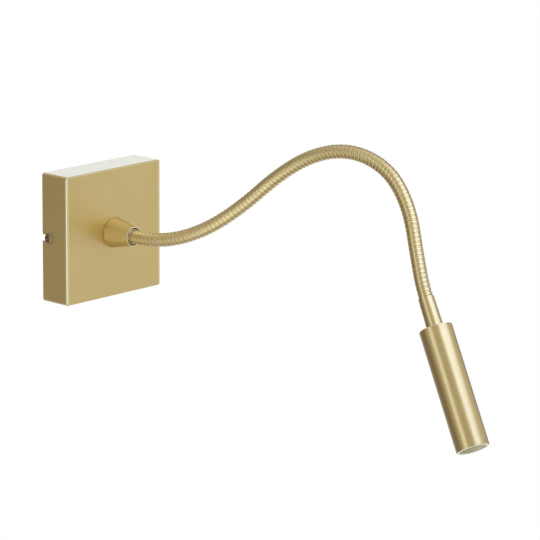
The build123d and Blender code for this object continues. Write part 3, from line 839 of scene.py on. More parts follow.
@dataclass
class NeckPath:
    """Middle line of the neck: arcs of even bend through its hinges."""

    points: list[Vector]
    heading: Vector

    def trace(self, steps: int, lead_in: float, lead_out: float) -> list[Vector]:
        """Samples the line.

        Args:
            steps: Straight pieces in the arc between two hinges.
            lead_in: Straight length before the first point.
            lead_out: Straight length after the last point.

        Returns:
            Points from end to end.
        """
        heading = self.heading
        line = [self.points[0] - heading * lead_in]
        for start, end in zip(self.points, self.points[1:]):
            chord = (end - start).normalized()
            half = heading.angle(chord)
            inward = (chord - heading * heading.dot(chord)).normalized()
            radius = (end - start).length / (2 * math.sin(half))
            for step in range(steps):
                angle = 2 * half * step / steps
                ahead = heading * (radius * math.sin(angle))
                aside = inward * (radius * (1 - math.cos(angle)))
                line.append(start + ahead + aside)
            heading = chord * (2 * heading.dot(chord)) - heading
        return [*line, self.points[-1], self.points[-1] + heading * lead_out]


def polyline(name: str, points: Sequence[Vector], closed: bool = False) -> bpy.types.Object:
    """Makes a line of edges, as the input of a modifier.

    Args:
        name: Name of the line.
        points: Its points in order.
        closed: Whether the last point is joined to the first one.

    Returns:
        The line's object.
    """
    mesh = bpy.data.meshes.new(name)
    count = len(points)
    edges = [(k, (k + 1) % count) for k in range(count if closed else count - 1)]
    mesh.from_pydata([tuple(point) for point in points], edges, [])
    return linked(name, mesh)


class NodeTool:
    """A Geometry Nodes tree with named inputs, run as a modifier."""

    def __init__(self, name: str, inputs: dict[str, str]) -> None:
        """Starts a tree.

        Args:
            name: Name of the tree.
            inputs: Socket types of its inputs, by name, besides the geometry.
        """
        self.tree = bpy.data.node_groups.new(name, "GeometryNodeTree")
        sockets = self.tree.interface
        sockets.new_socket("Geometry", in_out="INPUT", socket_type="NodeSocketGeometry")
        self.keys: dict[str, str] = {}
        for label, kind in inputs.items():
            self.keys[label] = sockets.new_socket(label, in_out="INPUT", socket_type=kind).identifier
        sockets.new_socket("Geometry", in_out="OUTPUT", socket_type="NodeSocketGeometry")
        self.web = NodeWeb(self.tree)
        self.source = self.web.add("NodeGroupInput")

    def input(self, name: str) -> Term:
        """Gives one of the tree's inputs."""
        return Term(self.web, self.source.outputs[name])

    def close(self, shape: Term) -> None:
        """Ends the tree: instances become real and take the material.

        Args:
            shape: The geometry that the tree has made.
        """
        real = self.web.term("GeometryNodeRealizeInstances", None, {"Geometry": shape})
        dressed = {"Geometry": real, "Material": self.input("Material")}
        done = self.web.term("GeometryNodeSetMaterial", None, dressed)
        self.web.add("NodeGroupOutput", None, {"Geometry": done})

    def run(self, name: str, source: bpy.types.Object, values: dict[str, object]) -> bpy.types.Object:
        """Runs the tree on a copy of an object.

        Args:
            name: Name of the new piece.
            source: Object whose mesh goes in.
            values: The inputs' values, by name.

        Returns:
            The piece, with a plain mesh and its faces turned outwards.
        """
        made = linked(name, source.data.copy())
        modifier = made.modifiers.new(name, "NODES")
        modifier.node_group = self.tree
        for key, value in values.items():
            modifier[self.keys[key]] = value
        applied(made)
        built = bmesh.new()
        built.from_mesh(made.data)
        bmesh.ops.recalc_face_normals(built, faces=built.faces)
        built.to_mesh(made.data)
        built.free()
        crisp(made.data, WIRE_CRISP_ANGLE)
        return made


def wound_wire_tool() -> NodeTool:
    """Makes the tree that winds two wires round a line.

    Returns:
        A tool whose input mesh is the line and whose result is both wires between two lengths along it.
    """
    sizes = ("Pitch", "From", "To", "Outer Radius", "Inner Radius", "Squeeze")
    inputs = dict.fromkeys(sizes, "NodeSocketFloat")
    inputs |= dict.fromkeys(("Outer Wire", "Inner Wire"), "NodeSocketObject")
    inputs |= {"Steps per Turn": "NodeSocketInt", "Material": "NodeSocketMaterial"}
    tool = NodeTool("wound_wires", inputs)
    web = tool.web
    pitch, start = tool.input("Pitch"), tool.input("From")
    line = web.term("GeometryNodeMeshToCurve", None, {"Mesh": tool.input("Geometry")})
    step = pitch / tool.input("Steps per Turn")
    count = ((tool.input("To") - start) / step).function("ROUND") + 1.0
    place = web.term("GeometryNodeInputIndex") * step + start
    sample = web.add("GeometryNodeSampleCurve", {"mode": "LENGTH"}, {"Curves": line, "Length": place})
    middle, along, side = (Term(web, sample.outputs[name]) for name in ("Position", "Tangent", "Normal"))
    ahead, behind = (
        web.term("GeometryNodeSampleCurve", {"mode": "LENGTH"}, {"Curves": line, "Length": spot}, "Tangent")
        for spot in (place + pitch, place - pitch)
    )
    bend = (ahead - behind) / (pitch * 2.0)
    wires = web.add("GeometryNodeJoinGeometry")
    for wire, radius, lag in (("Outer Wire", "Outer Radius", 0.0), ("Inner Wire", "Inner Radius", math.pi)):
        angle = place * math.tau / pitch + lag
        spoke = side * angle.function("COSINE") + along.cross(side) * angle.function("SINE")
        stick = web.term("GeometryNodeCurvePrimitiveLine")
        coil = web.term("GeometryNodeResampleCurve", None, {"Curve": stick, "Count": count})
        inside = bend.dot(spoke).function("MAXIMUM", 0.0)
        lift = inside * tool.input("Squeeze") * math.cos(lag)
        spot = middle + spoke * (tool.input(radius) + lift)
        coil = web.term("GeometryNodeSetPosition", None, {"Geometry": coil, "Position": spot})
        coil = web.term("GeometryNodeSetCurveNormal", {"mode": "FREE"}, {"Curve": coil, "Normal": spoke})
        shape = web.term("GeometryNodeObjectInfo", None, {"Object": tool.input(wire)}, "Geometry")
        ring = web.term("GeometryNodeMeshToCurve", None, {"Mesh": shape})
        wound = {"Curve": coil, "Profile Curve": ring, "Fill Caps": True}
        web.feed(wires.inputs[0], web.term("GeometryNodeCurveToMesh", None, wound))
    tool.close(Term(web, wires.outputs[0]))
    return tool


def lead_tool() -> NodeTool:
    """Makes the tree that draws a round lead along a line.

    Returns:
        A tool whose input mesh is the line and whose result is a closed tube between two lengths along it.
    """
    inputs = dict.fromkeys(("From", "To", "Radius"), "NodeSocketFloat")
    inputs |= {"Sides": "NodeSocketInt", "Material": "NodeSocketMaterial"}
    tool = NodeTool("round_lead", inputs)
    web = tool.web
    line = web.term("GeometryNodeMeshToCurve", None, {"Mesh": tool.input("Geometry")})
    ends = {"Curve": line, 4: tool.input("From"), 5: tool.input("To")}
    cut = web.term("GeometryNodeTrimCurve", {"mode": "LENGTH"}, ends)
    round_shape = {"Resolution": tool.input("Sides"), "Radius": tool.input("Radius")}
    ring = web.term("GeometryNodeCurvePrimitiveCircle", None, round_shape)
    tube = {"Curve": cut, "Profile Curve": ring, "Fill Caps": True}
    tool.close(web.term("GeometryNodeCurveToMesh", None, tube))
    return tool


def fastener_tool() -> NodeTool:
    """Makes the tree that sets a fastener on every point of a mesh, along the mesh's facing attribute.

    Returns:
        A tool whose input mesh holds the seats and whose result is the set of fasteners.
    """
    inputs = {"Fastener": "NodeSocketObject", "Scale": "NodeSocketFloat", "Material": "NodeSocketMaterial"}
    tool = NodeTool("fasteners", inputs)
    web = tool.web
    kind = {"data_type": "FLOAT_VECTOR"}
    facing, grip = (
        web.term("GeometryNodeInputNamedAttribute", kind, {"Name": name}, "Attribute")
        for name in ("facing", "grip")
    )
    turn = web.term("FunctionNodeAxesToRotation", None, {"Primary Axis": facing, "Secondary Axis": grip})
    shape = web.term("GeometryNodeObjectInfo", None, {"Object": tool.input("Fastener")}, "Geometry")
    values = {"Points": tool.input("Geometry"), "Instance": shape, "Rotation": turn}
    values["Scale"] = tool.input("Scale")
    tool.close(web.term("GeometryNodeInstanceOnPoints", None, values))
    return tool


def seats(name: str, rows: Sequence[tuple[Vector, Vector, Vector]]) -> bpy.types.Object:
    """Makes the points that fasteners are set on.

    Args:
        name: Name of the point object.
        rows: Place, facing and grip direction of each fastener.

    Returns:
        An object whose vertices carry facing and grip attributes.
    """
    made = polyline(name, [place for place, _, _ in rows])
    for column, label in ((1, "facing"), (2, "grip")):
        store = made.data.attributes.new(label, "FLOAT_VECTOR", "POINT")
        store.data.foreach_set("vector", [value for row in rows for value in row[column]])
    return made


@dataclass
class ScrewPattern:
    """Pan-head screw with a tapered cross recess; its head's underside is the plane z = 0.

    The tapers are shares of the recess's span and width at its floor and above the head, the thread starts at
    a share of its pitch from the tip, and the core is a fine hole that keeps the section off the axis.
    """

    head_radius: float = 4.0 * MM
    head_height: float = 1.6 * MM
    head_side: float = 0.7 * MM
    head_edge: float = 0.15 * MM
    dome_steps: int = 8
    shank_radius: float = 2.0 * MM
    shank_length: float = 8.0 * MM
    shank_collar: float = 0.8 * MM
    unthreaded: float = 1.5 * MM
    recess_span: float = 4.5 * MM
    recess_width: float = 1.05 * MM
    recess_depth: float = 1.15 * MM
    recess_overcut: float = 0.2 * MM
    span_taper: tuple[float, float] = (0.62, 1.08)
    width_taper: tuple[float, float] = (0.60, 1.06)
    thread_pitch: float = 0.7 * MM
    thread_depth: float = 0.36 * MM
    thread_start: float = 0.35
    core: float = 0.02 * MM
    sides: int = 48

    def outline(self) -> Outline:
        """Gives half of the screw's section from the tip to the top of the head, with its thread.

        Returns:
            Points of radius and height, near the axis at both ends.
        """
        root = self.shank_radius - self.thread_depth
        points = [(self.core, -self.shank_length), (root, -self.shank_length)]
        turns = int((self.shank_length - self.unthreaded) / self.thread_pitch)
        for turn in range(turns):
            foot = -self.shank_length + (turn + self.thread_start) * self.thread_pitch
            points.append((self.shank_radius, foot))
            points.append((root, foot + 0.5 * self.thread_pitch))
        points += [(self.shank_radius, -self.shank_collar), (self.shank_radius, 0.0)]
        points += [(self.head_radius - self.head_edge, 0.0), (self.head_radius, self.head_edge)]
        points.append((self.head_radius, self.head_side))
        rise = self.head_height - self.head_side
        for step in range(1, self.dome_steps + 1):
            angle = math.pi / 2 * step / self.dome_steps
            radius = max(self.head_radius * math.cos(angle), self.core)
            points.append((radius, self.head_side + rise * math.sin(angle)))
        return points

    def cutter(self) -> bpy.types.Object:
        """Makes the tapered cross that cuts the recess.

        Returns:
            Two crossing bars, narrower at the recess's floor than above the head.
        """
        floor = self.head_height - self.recess_depth
        above = self.head_height + self.recess_overcut
        built = bmesh.new()
        for turn in (0.0, math.pi / 2):
            bar = bmesh.ops.create_cube(built, size=1.0)["verts"]
            for vert in bar:
                level = 0 if vert.co.z < 0 else 1
                span = math.copysign(self.recess_span * self.span_taper[level] / 2, vert.co.x)
                width = math.copysign(self.recess_width * self.width_taper[level] / 2, vert.co.y)
                vert.co = Vector((span, width, (floor, above)[level]))
            bmesh.ops.rotate(built, verts=bar, cent=(0, 0, 0), matrix=Matrix.Rotation(turn, 3, "Z"))
        return make_object("cross", mesh_of("cross", built))

    def template(self) -> bpy.types.Object:
        """Makes one screw at the origin.

        Returns:
            The screw, to be set in place by the fastener tree.
        """
        turning = Turning(Vector((0, 0, 0)), Vector((0, 0, 1)), self.sides)
        screw = make_object("screw", turning.mesh(self.outline()))
        cut_out(screw, self.cutter(), crossing=True)
        return screw


@dataclass
class BaseBox:
    """Square box on the wall with its cover, cone, stud, cable bush and screws.

    A share at an edge is of paler colour there, partly thin lacquer and partly a painted highlight, and a
    bare value is the share of bare metal, also painted paler as a highlight; a lip is the height of the bare
    band at a tip. An overcut is how far a cutter reaches past the piece, and a grip is the way that one arm
    of a screw's cross points.
    """

    tool: NodeTool
    size: float = 100 * MM
    depth: float = 27 * MM
    wall: float = 1.5 * MM
    corner_radius: float = 2.0 * MM
    corner_steps: int = 8
    front_radius: float = 1.2 * MM
    front_steps: int = 8
    rim_radius: float = 0.25 * MM
    rim_wear_and_sheen: float = 0.6
    inner_corner: float = 0.5 * MM
    inner_bend: float = 1.0 * MM
    inner_wear_and_sheen: float = 0.3
    wear_and_sheen_band: float = 1.6 * MM
    stud_hole: float = 5.1 * MM
    notch_width: float = 5.0 * MM
    notch_steps: int = 24
    notch_overcut: float = 1.0 * MM
    screw_from_wall: float = 7.4 * MM
    screw_grip: tuple[float, float, float] = (0.0, 0.34, 0.94)
    earth_head_height: float = 2.4 * MM
    earth_head_side: float = 1.2 * MM
    earth_scale: float = 0.9
    earth_grip: tuple[float, float, float] = (0.5, 0.0, 0.87)
    earth_from_wall: float = 0.2 * MM
    cone_length: float = 21.6 * MM
    cone_foot: float = 11.8 * MM
    cone_margin: float = 2.0 * MM
    cone_tip: float = 7.45 * MM
    cone_bore: float = 6.85 * MM
    cone_web: float = 5.0 * MM
    cone_groove: float = 0.45 * MM
    cone_edge: float = 0.22 * MM
    cone_lip: float = 0.35 * MM
    stud_radius: float = 5.0 * MM
    stud_bore: float = 2.5 * MM
    stud_tail: float = 17.6 * MM
    stud_edge: float = 0.3 * MM
    socket_radius: float = 6.0 * MM
    socket_bore: float = 5.25 * MM
    socket_setback: float = 0.1 * MM
    socket_depth: float = 11.0 * MM
    socket_lip: float = 0.7 * MM
    socket_bare_and_sheen: float = 0.25
    bush_bore: float = 4.5 * MM
    bush_neck: float = 6.95 * MM
    bush_seat: float = 1.5 * MM
    bush_edge: float = 0.45 * MM
    bush_steps: int = 6
    out: Turning = field(default_factory=lambda: Turning(Vector((0, 0, 0)), OUT))

    def square(self, half: float, radius: float, out: float) -> list[Vector]:
        """Gives a ring round a rounded square at a distance out from the wall.

        Args:
            half: Half of the square's width.
            radius: Radius of its corners.
            out: Distance from the wall.

        Returns:
            The ring's points, the same number for every square.
        """
        ring = []
        for corner in range(4):
            toward = math.pi / 2 * (corner + 0.5)
            x = math.copysign(half - radius, math.cos(toward))
            z = math.copysign(half - radius, math.sin(toward))
            for step in range(self.corner_steps + 1):
                angle = math.pi / 2 * (corner + step / self.corner_steps)
                ring.append(Vector((x + radius * math.cos(angle), -out, z + radius * math.sin(angle))))
        return ring

    def circle(self, radius: float, out: float) -> list[Vector]:
        """Gives a ring round the middle at a distance out from the wall.

        Args:
            radius: Radius of the ring.
            out: Distance from the wall.

        Returns:
            As many points as a square has, at the same bearings.
        """
        square = self.square(self.size / 2, self.corner_radius, 0.0)
        bearings = [math.atan2(point.z, point.x) for point in square]
        return [Vector((radius * math.cos(a), -out, radius * math.sin(a))) for a in bearings]

    def cover_rings(self) -> list[tuple[list[Vector], float]]:
        """Gives the rings that the cover is skinned over, each with its share of paler edge colour, partly a
        painted highlight.

        Returns:
            Rings from the outside at the wall, over the front and back along the inside.
        """
        half = self.size / 2
        inner = half - self.wall
        floor = self.depth - self.wall
        corner, front = self.corner_radius, self.front_radius
        rings = [
            (self.square(half - self.rim_radius, corner, 0.0), self.rim_wear_and_sheen),
            (self.square(half, corner, self.rim_radius), self.rim_wear_and_sheen),
            (self.square(half, corner, self.wear_and_sheen_band), 0.0),
            (self.square(half, corner, self.depth - front - self.wear_and_sheen_band), 0.0),
        ]
        for step in range(self.front_steps + 1):
            angle = math.pi / 2 * step / self.front_steps
            inset = front * (1 - math.cos(angle))
            out = self.depth - front * (1 - math.sin(angle))
            rings.append((self.square(half - inset, corner - inset, out), 1.0))
        return rings + [
            (self.square(half - front - self.wear_and_sheen_band, corner - front, self.depth), 0.0),
            (self.circle(self.cone_foot + self.cone_margin, self.depth), 0.0),
            (self.circle(self.stud_hole, self.depth), 0.0),
            (self.circle(self.stud_hole, floor), 0.0),
            (self.square(inner - self.inner_bend, self.inner_corner, floor), 0.0),
            (self.square(inner, self.inner_corner, floor - self.inner_bend), 0.0),
            (self.square(inner, self.inner_corner, 0.0), self.inner_wear_and_sheen),
        ]

    def cover(self) -> bpy.types.Object:
        """Makes the sheet cover with its two side notches.

        Returns:
            The cover, seated on the base.
        """
        built = bmesh.new()
        # Share of paler edge colour, thin lacquer and a painted highlight; only the upright edges take it
        wear_and_sheen = built.verts.layers.float.new("edge")
        rings = []
        for points, share in self.cover_rings():
            rings.append([built.verts.new(point) for point in points])
            for vert in rings[-1]:
                upright = abs(vert.co.x) > abs(vert.co.z)
                vert[wear_and_sheen] = share if upright else 0.0
        skin(built, rings)
        bmesh.ops.recalc_face_normals(built, faces=built.faces)
        cover = make_object("base_cover_sheet", mesh_of("base_cover_sheet", built))
        cut_out(cover, self.notch_cutter())
        crisp(cover.data)
        even_normals(cover)
        return settle(cover, "base", "gold_sheet", "base_cover")

    def notch_cutter(self) -> bpy.types.Object:
        """Makes the long bar, round on one edge, that cuts both notches.

        Returns:
            The bar, right across the box.
        """
        radius = self.notch_width / 2
        outline = [(-self.notch_overcut, -radius), (-self.notch_overcut, radius)]
        for step in range(self.notch_steps + 1):
            angle = math.pi / 2 - math.pi * step / self.notch_steps
            outline.append((self.screw_from_wall + radius * math.cos(angle), radius * math.sin(angle)))
        built = bmesh.new()
        ends = []
        for x in (-self.size, self.size):
            ends.append([built.verts.new((x, -out, z)) for out, z in outline])
            built.faces.new(ends[-1])
        skin(built, ends, closed=False)
        bmesh.ops.recalc_face_normals(built, faces=built.faces)
        return make_object("notch", mesh_of("notch", built))

    def cone(self) -> bpy.types.Object:
        """Makes the cone on the front, with a fine undercut at its foot that makes a shadow line, and a lip
        at its tip painted pale, bare metal and a painted highlight.

        Returns:
            The cone, seated on the base.
        """
        tip = self.depth + self.cone_length
        shelf = self.depth + self.cone_web
        outline = [
            (self.stud_hole, self.depth),
            (self.cone_foot - self.cone_groove, self.depth),
            (self.cone_foot, self.depth + self.cone_groove),
            (self.cone_tip, tip),
            (self.cone_bore, tip),
            (self.cone_bore, shelf),
            (self.stud_hole, shelf),
        ]
        # the lip is bare metal, painted pale as a highlight
        lip = tip - self.cone_lip
        made = self.out.piece("cone_shell", outline, self.cone_edge, bare=lambda r, h: float(h > lip))
        return settle(made, "base", "gold_turned", "neck_cone", finish="gold_satin")

    def stud(self) -> bpy.types.Object:
        """Makes the stud whose socket holds the neck.

        Returns:
            The stud, seated on the base.
        """
        rim = self.depth + self.cone_length - self.socket_setback
        shelf = self.depth + self.cone_web
        outline = [
            (self.stud_bore, self.stud_tail),
            (self.stud_radius, self.stud_tail),
            (self.stud_radius, shelf),
            (self.socket_radius, shelf),
            (self.socket_radius, rim),
            (self.socket_bore, rim),
            (self.socket_bore, rim - self.socket_depth),
            (self.stud_bore, rim - self.socket_depth),
        ]
        # paler band at the socket's rim, bare metal and a painted highlight in the recess
        lip = rim - self.socket_lip
        made = self.out.piece(
            "neck_socket", outline, self.stud_edge, bare=lambda r, h: self.socket_bare_and_sheen * (h > lip)
        )
        return settle(made, "base", "gold_turned", "neck_stud")

    def bush(self) -> bpy.types.Object:
        """Makes the rubber bush in the cable hole.

        Returns:
            The bush, seated on the base.
        """
        low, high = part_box("cable_bush")
        radius = (high.x - low.x) / 2
        outline = [
            (self.bush_bore, -high.y),
            (self.bush_neck, -high.y),
            (self.bush_neck, self.bush_seat),
            (radius, self.bush_seat),
            (radius, -low.y),
            (self.bush_bore, -low.y),
        ]
        made = self.out.piece("cable_grommet", outline, self.bush_edge, self.bush_steps)
        return settle(made, "base", "black_rubber", "cable_bush")

    def screw_set(
        self,
        name: str,
        slot: str,
        pattern: ScrewPattern,
        scale: float,
        rows: Sequence[tuple[Vector, Vector, Vector]],
    ) -> bpy.types.Object:
        """Sets screws of one kind on their seats.

        Args:
            name: Name of the piece that holds them all.
            slot: Name of their finish.
            pattern: Their shape.
            scale: Their size against the pattern.
            rows: Place, facing and grip direction of each screw.

        Returns:
            The screws as one piece.
        """
        template = pattern.template()
        points = seats(f"{name} seats", rows)
        values = {"Fastener": template, "Scale": scale, "Material": FINISHES[slot].material()}
        made = self.tool.run(name, points, values)
        discard(points, template)
        return made

    def screws(self) -> None:
        """Sets the two side screws and the earth screw."""
        half = self.size / 2
        rows = []
        for side in (-1, 1):
            place = Vector((side * half, -self.screw_from_wall, 0))
            rows.append((place, Vector((side, 0, 0)), Vector(self.screw_grip)))
        pair = self.screw_set("side_screw_pair", "bronzed_steel", ScrewPattern(), 1.0, rows)
        settle(pair, "base", "bronzed_steel", "side_screws")
        taller = ScrewPattern(head_height=self.earth_head_height, head_side=self.earth_head_side)
        low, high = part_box("earth_screw")
        middle = (low + high) / 2
        seat = Vector((middle.x, low.y + taller.head_height, middle.z))
        rows = [(seat, OUT, Vector(self.earth_grip))]
        earth = self.screw_set("earth_screw_pan", "zinc_steel", taller, self.earth_scale, rows)
        settle(self.cut_at_wall(earth), "base", "zinc_steel", "earth_screw")

    def cut_at_wall(self, made: bpy.types.Object) -> bpy.types.Object:
        """Cuts a piece flat just in front of the wall.

        Args:
            made: The piece.

        Returns:
            The same piece with a closed end.
        """
        built = bmesh.new()
        built.from_mesh(made.data)
        whole = [*built.verts, *built.edges, *built.faces]
        flat = (0, -self.earth_from_wall, 0)
        cut = bmesh.ops.bisect_plane(built, geom=whole, plane_co=flat, plane_no=(0, 1, 0), clear_outer=True)
        rim = [item for item in cut["geom_cut"] if isinstance(item, bmesh.types.BMEdge)]
        bmesh.ops.edgeloop_fill(built, edges=rim)
        built.to_mesh(made.data)
        built.free()
        return made

    def build(self) -> None:
        """Builds the box's pieces in order."""
        self.cover()
        self.cone()
        self.stud()
        self.bush()
        self.screws()


@dataclass
class Softened:
    """A solid whose shape is right, copied with fine rounded edges."""

    node: str
    name: str
    slot: str
    width: float
    segments: int = 2
    merge_distance: float = 0.002 * MM
    flat_angle: float = math.radians(0.5)
    bevel_angle: float = math.radians(40)

    def build(self) -> bpy.types.Object:
        """Copies the solid, rounds its edges and seats it.

        Returns:
            The new piece.
        """
        source = bpy.data.objects[self.node]
        built = bmesh.new()
        built.from_mesh(source.data)
        bmesh.ops.remove_doubles(built, verts=built.verts, dist=self.merge_distance)
        bmesh.ops.dissolve_limit(built, angle_limit=self.flat_angle, verts=built.verts, edges=built.edges)
        made = make_object(self.name, mesh_of(self.name, built))
        bevel = made.modifiers.new("soft edges", "BEVEL")
        bevel.width = self.width
        bevel.segments = self.segments
        bevel.limit_method = "ANGLE"
        bevel.angle_limit = self.bevel_angle
        bevel.use_clamp_overlap = True
        applied(made)
        crisp(made.data)
        even_normals(made)
        return settle(made, source["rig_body"], self.slot, self.node)


@dataclass
class FlexibleNeck:
    """Neck wound from two wires, an outer one with a crowned face and a round one in its grooves.

    The wedge's shoulder is a drop below the crown and an inset from the side. The round wire's shoulder and
    flank are a drop and a share of its radius. The squeeze lifts the outer wire where a bend presses it, and
    lowers the round one, by that many square metres times the bend.
    """

    joints: list[dict]
    socket_tip: Vector
    end: Vector
    pitch: float = 3.46 * MM
    steps_per_turn: int = 40
    arc_steps: int = 40
    stub: float = 11.0 * MM
    tail: float = 1.7 * MM
    crown_steps: int = 4
    crest_radius: float = 5.2 * MM
    crest_width: float = 2.0 * MM
    crest_rise: float = 0.032 * MM
    crest_fade: float = 0.4 * MM
    wedge_face_inset: float = 0.09 * MM
    wedge_shoulder: tuple[float, float] = (0.04 * MM, 0.03 * MM)
    wedge_flank: float = 0.14 * MM
    wedge_root: float = 3.30 * MM
    wedge_root_half: float = 0.24 * MM
    round_top: float = 5.08 * MM
    round_radius: float = 0.72 * MM
    round_rise: float = 0.055 * MM
    round_depth: float = 1.35 * MM
    round_face: float = 0.80
    round_shoulder: tuple[float, float] = (0.05 * MM, 0.91)
    round_flank: tuple[float, float] = (0.20 * MM, 0.98)
    round_steps: int = 6
    squeeze: float = 0.00002
    lead_radius: float = 2.2 * MM
    lead_sides: int = 24

    def path(self) -> NeckPath:
        """Gives the middle line from the cone's tip through the hinges to the ferrule."""
        hinges = [Vector(joint["pos_m"]) for joint in self.joints]
        return NeckPath([self.socket_tip, *hinges, self.end], OUT)

    def section(
        self, name: str, face: float, rise: float, sides: Sequence[tuple[float, float]]
    ) -> bpy.types.Object:
        """Makes a wire's section: a crowned face towards the outside and two equal sides.

        Args:
            name: Name of the line.
            face: Half of the face's width.
            rise: Height of the face's crown.
            sides: Depth below the face and half width at each further point, from the face to the root.

        Returns:
            A closed line whose x is the height over the wire's outer radius and whose y runs along the neck.
        """
        steps = self.crown_steps
        crown = [(-rise * (k / steps) ** 2, face * k / steps) for k in range(-steps, steps + 1)]
        right = [(-depth, half) for depth, half in sides]
        left = [(-depth, -half) for depth, half in reversed(sides)]
        points = [*crown, *right, *left]
        made = polyline(name, [Vector((x, y, 0)) for x, y in points], closed=True)
        # height below the crown, which the neck's finish turns into painted shade in the grooves
        crest = made.data.attributes.new("crest", "FLOAT", "POINT")
        crest.data.foreach_set("value", [max(0.0, 1.0 + (x + rise) / self.crest_fade) for x, _ in points])
        return made

    def wedge(self) -> bpy.types.Object:
        """Makes the outer wire's section, with flanks that lean inwards to a narrow root.

        Returns:
            The section's closed line.
        """
        half = self.crest_width / 2
        drop, inset = self.wedge_shoulder
        sides = (
            (self.crest_rise + drop, half - inset),
            (self.wedge_flank, half),
            (self.crest_radius - self.wedge_root, self.wedge_root_half),
        )
        return self.section("outer wire section", half - self.wedge_face_inset, self.crest_rise, sides)

    def round_section(self) -> bpy.types.Object:
        """Makes the inner wire's section, round but for an outer face that is worn flatter.

        Returns:
            The section's closed line.
        """
        radius = self.round_radius
        drop, share = self.round_shoulder
        flank, flank_share = self.round_flank
        sides = [(self.round_rise + drop, share * radius), (flank, flank_share * radius)]
        for step in range(self.round_steps):
            angle = math.pi / 2 * step / (self.round_steps - 0.5)
            sides.append((self.round_depth - radius + radius * math.sin(angle), radius * math.cos(angle)))
        return self.section("round wire section", self.round_face * radius, self.round_rise, sides)

    def sections(self, kind: str, number: int) -> list[str]:
        """Gives the solids that one stretch of the neck stands for.

        Args:
            kind: First word of the solids' names.
            number: Number of the stretch, from 1.

        Returns:
            The section before the hinge, and on the last stretch the one after it too.
        """
        last = len(self.joints)
        numbers = (number, last + 1) if number == last else (number,)
        return [f"{kind}_section_{count:02d}" for count in numbers]

    def build(self) -> None:
        """Winds the neck in one stretch for each hinge, and draws the lead inside it."""
        count = len(self.joints)
        line = self.path().trace(self.arc_steps, self.stub, self.tail)
        source = polyline("neck line", line)
        total = sum((b - a).length for a, b in zip(line, line[1:]))
        stretch = (total - self.stub - self.tail) / count
        marks = [self.stub + number * stretch for number in range(count + 1)]
        starts, ends = [0.0, *marks[1:-1]], [*marks[1:-1], total]
        winder, drawer = wound_wire_tool(), lead_tool()
        outer, inner = self.wedge(), self.round_section()
        wires = {
            "Pitch": self.pitch,
            "Outer Radius": self.crest_radius,
            "Inner Radius": self.round_top,
            "Squeeze": self.squeeze,
            "Outer Wire": outer,
            "Inner Wire": inner,
            "Steps per Turn": self.steps_per_turn,
            "Material": FINISHES["gold_wound"].material(),
        }
        cord = {"Radius": self.lead_radius, "Sides": self.lead_sides}
        cord["Material"] = FINISHES["black_plastic"].material()
        for number in range(1, count + 1):
            span = {"From": starts[number - 1], "To": ends[number - 1]}
            coil = winder.run(f"neck_coil_{number:02d}", source, {**span, **wires})
            lead = drawer.run(f"neck_lead_{number:02d}", source, {**span, **cord})
            leads = self.sections("lead", number) if number > 1 else []
            start, end = (self.along(line, mark) for mark in marks[number - 1 : number + 1])
            for made, slot, nodes in (
                (coil, "gold_wound", self.sections("neck", number)),
                (lead, "black_plastic", leads),
            ):
                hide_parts(*nodes)
                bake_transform(made)
        discard(source, outer, inner)

    @staticmethod
    def along(line: Sequence[Vector], length: float) -> Vector:
        """Gives the point at a length along a line.

        Args:
            line: Points of the line.
            length: Distance from its start.

        Returns:
            The point, on the straight piece that holds it.
        """
        for start, end in zip(line, line[1:]):
            piece = (end - start).length
            if length <= piece:
                return start.lerp(end, length / piece)
            length -= piece
        return line[-1]


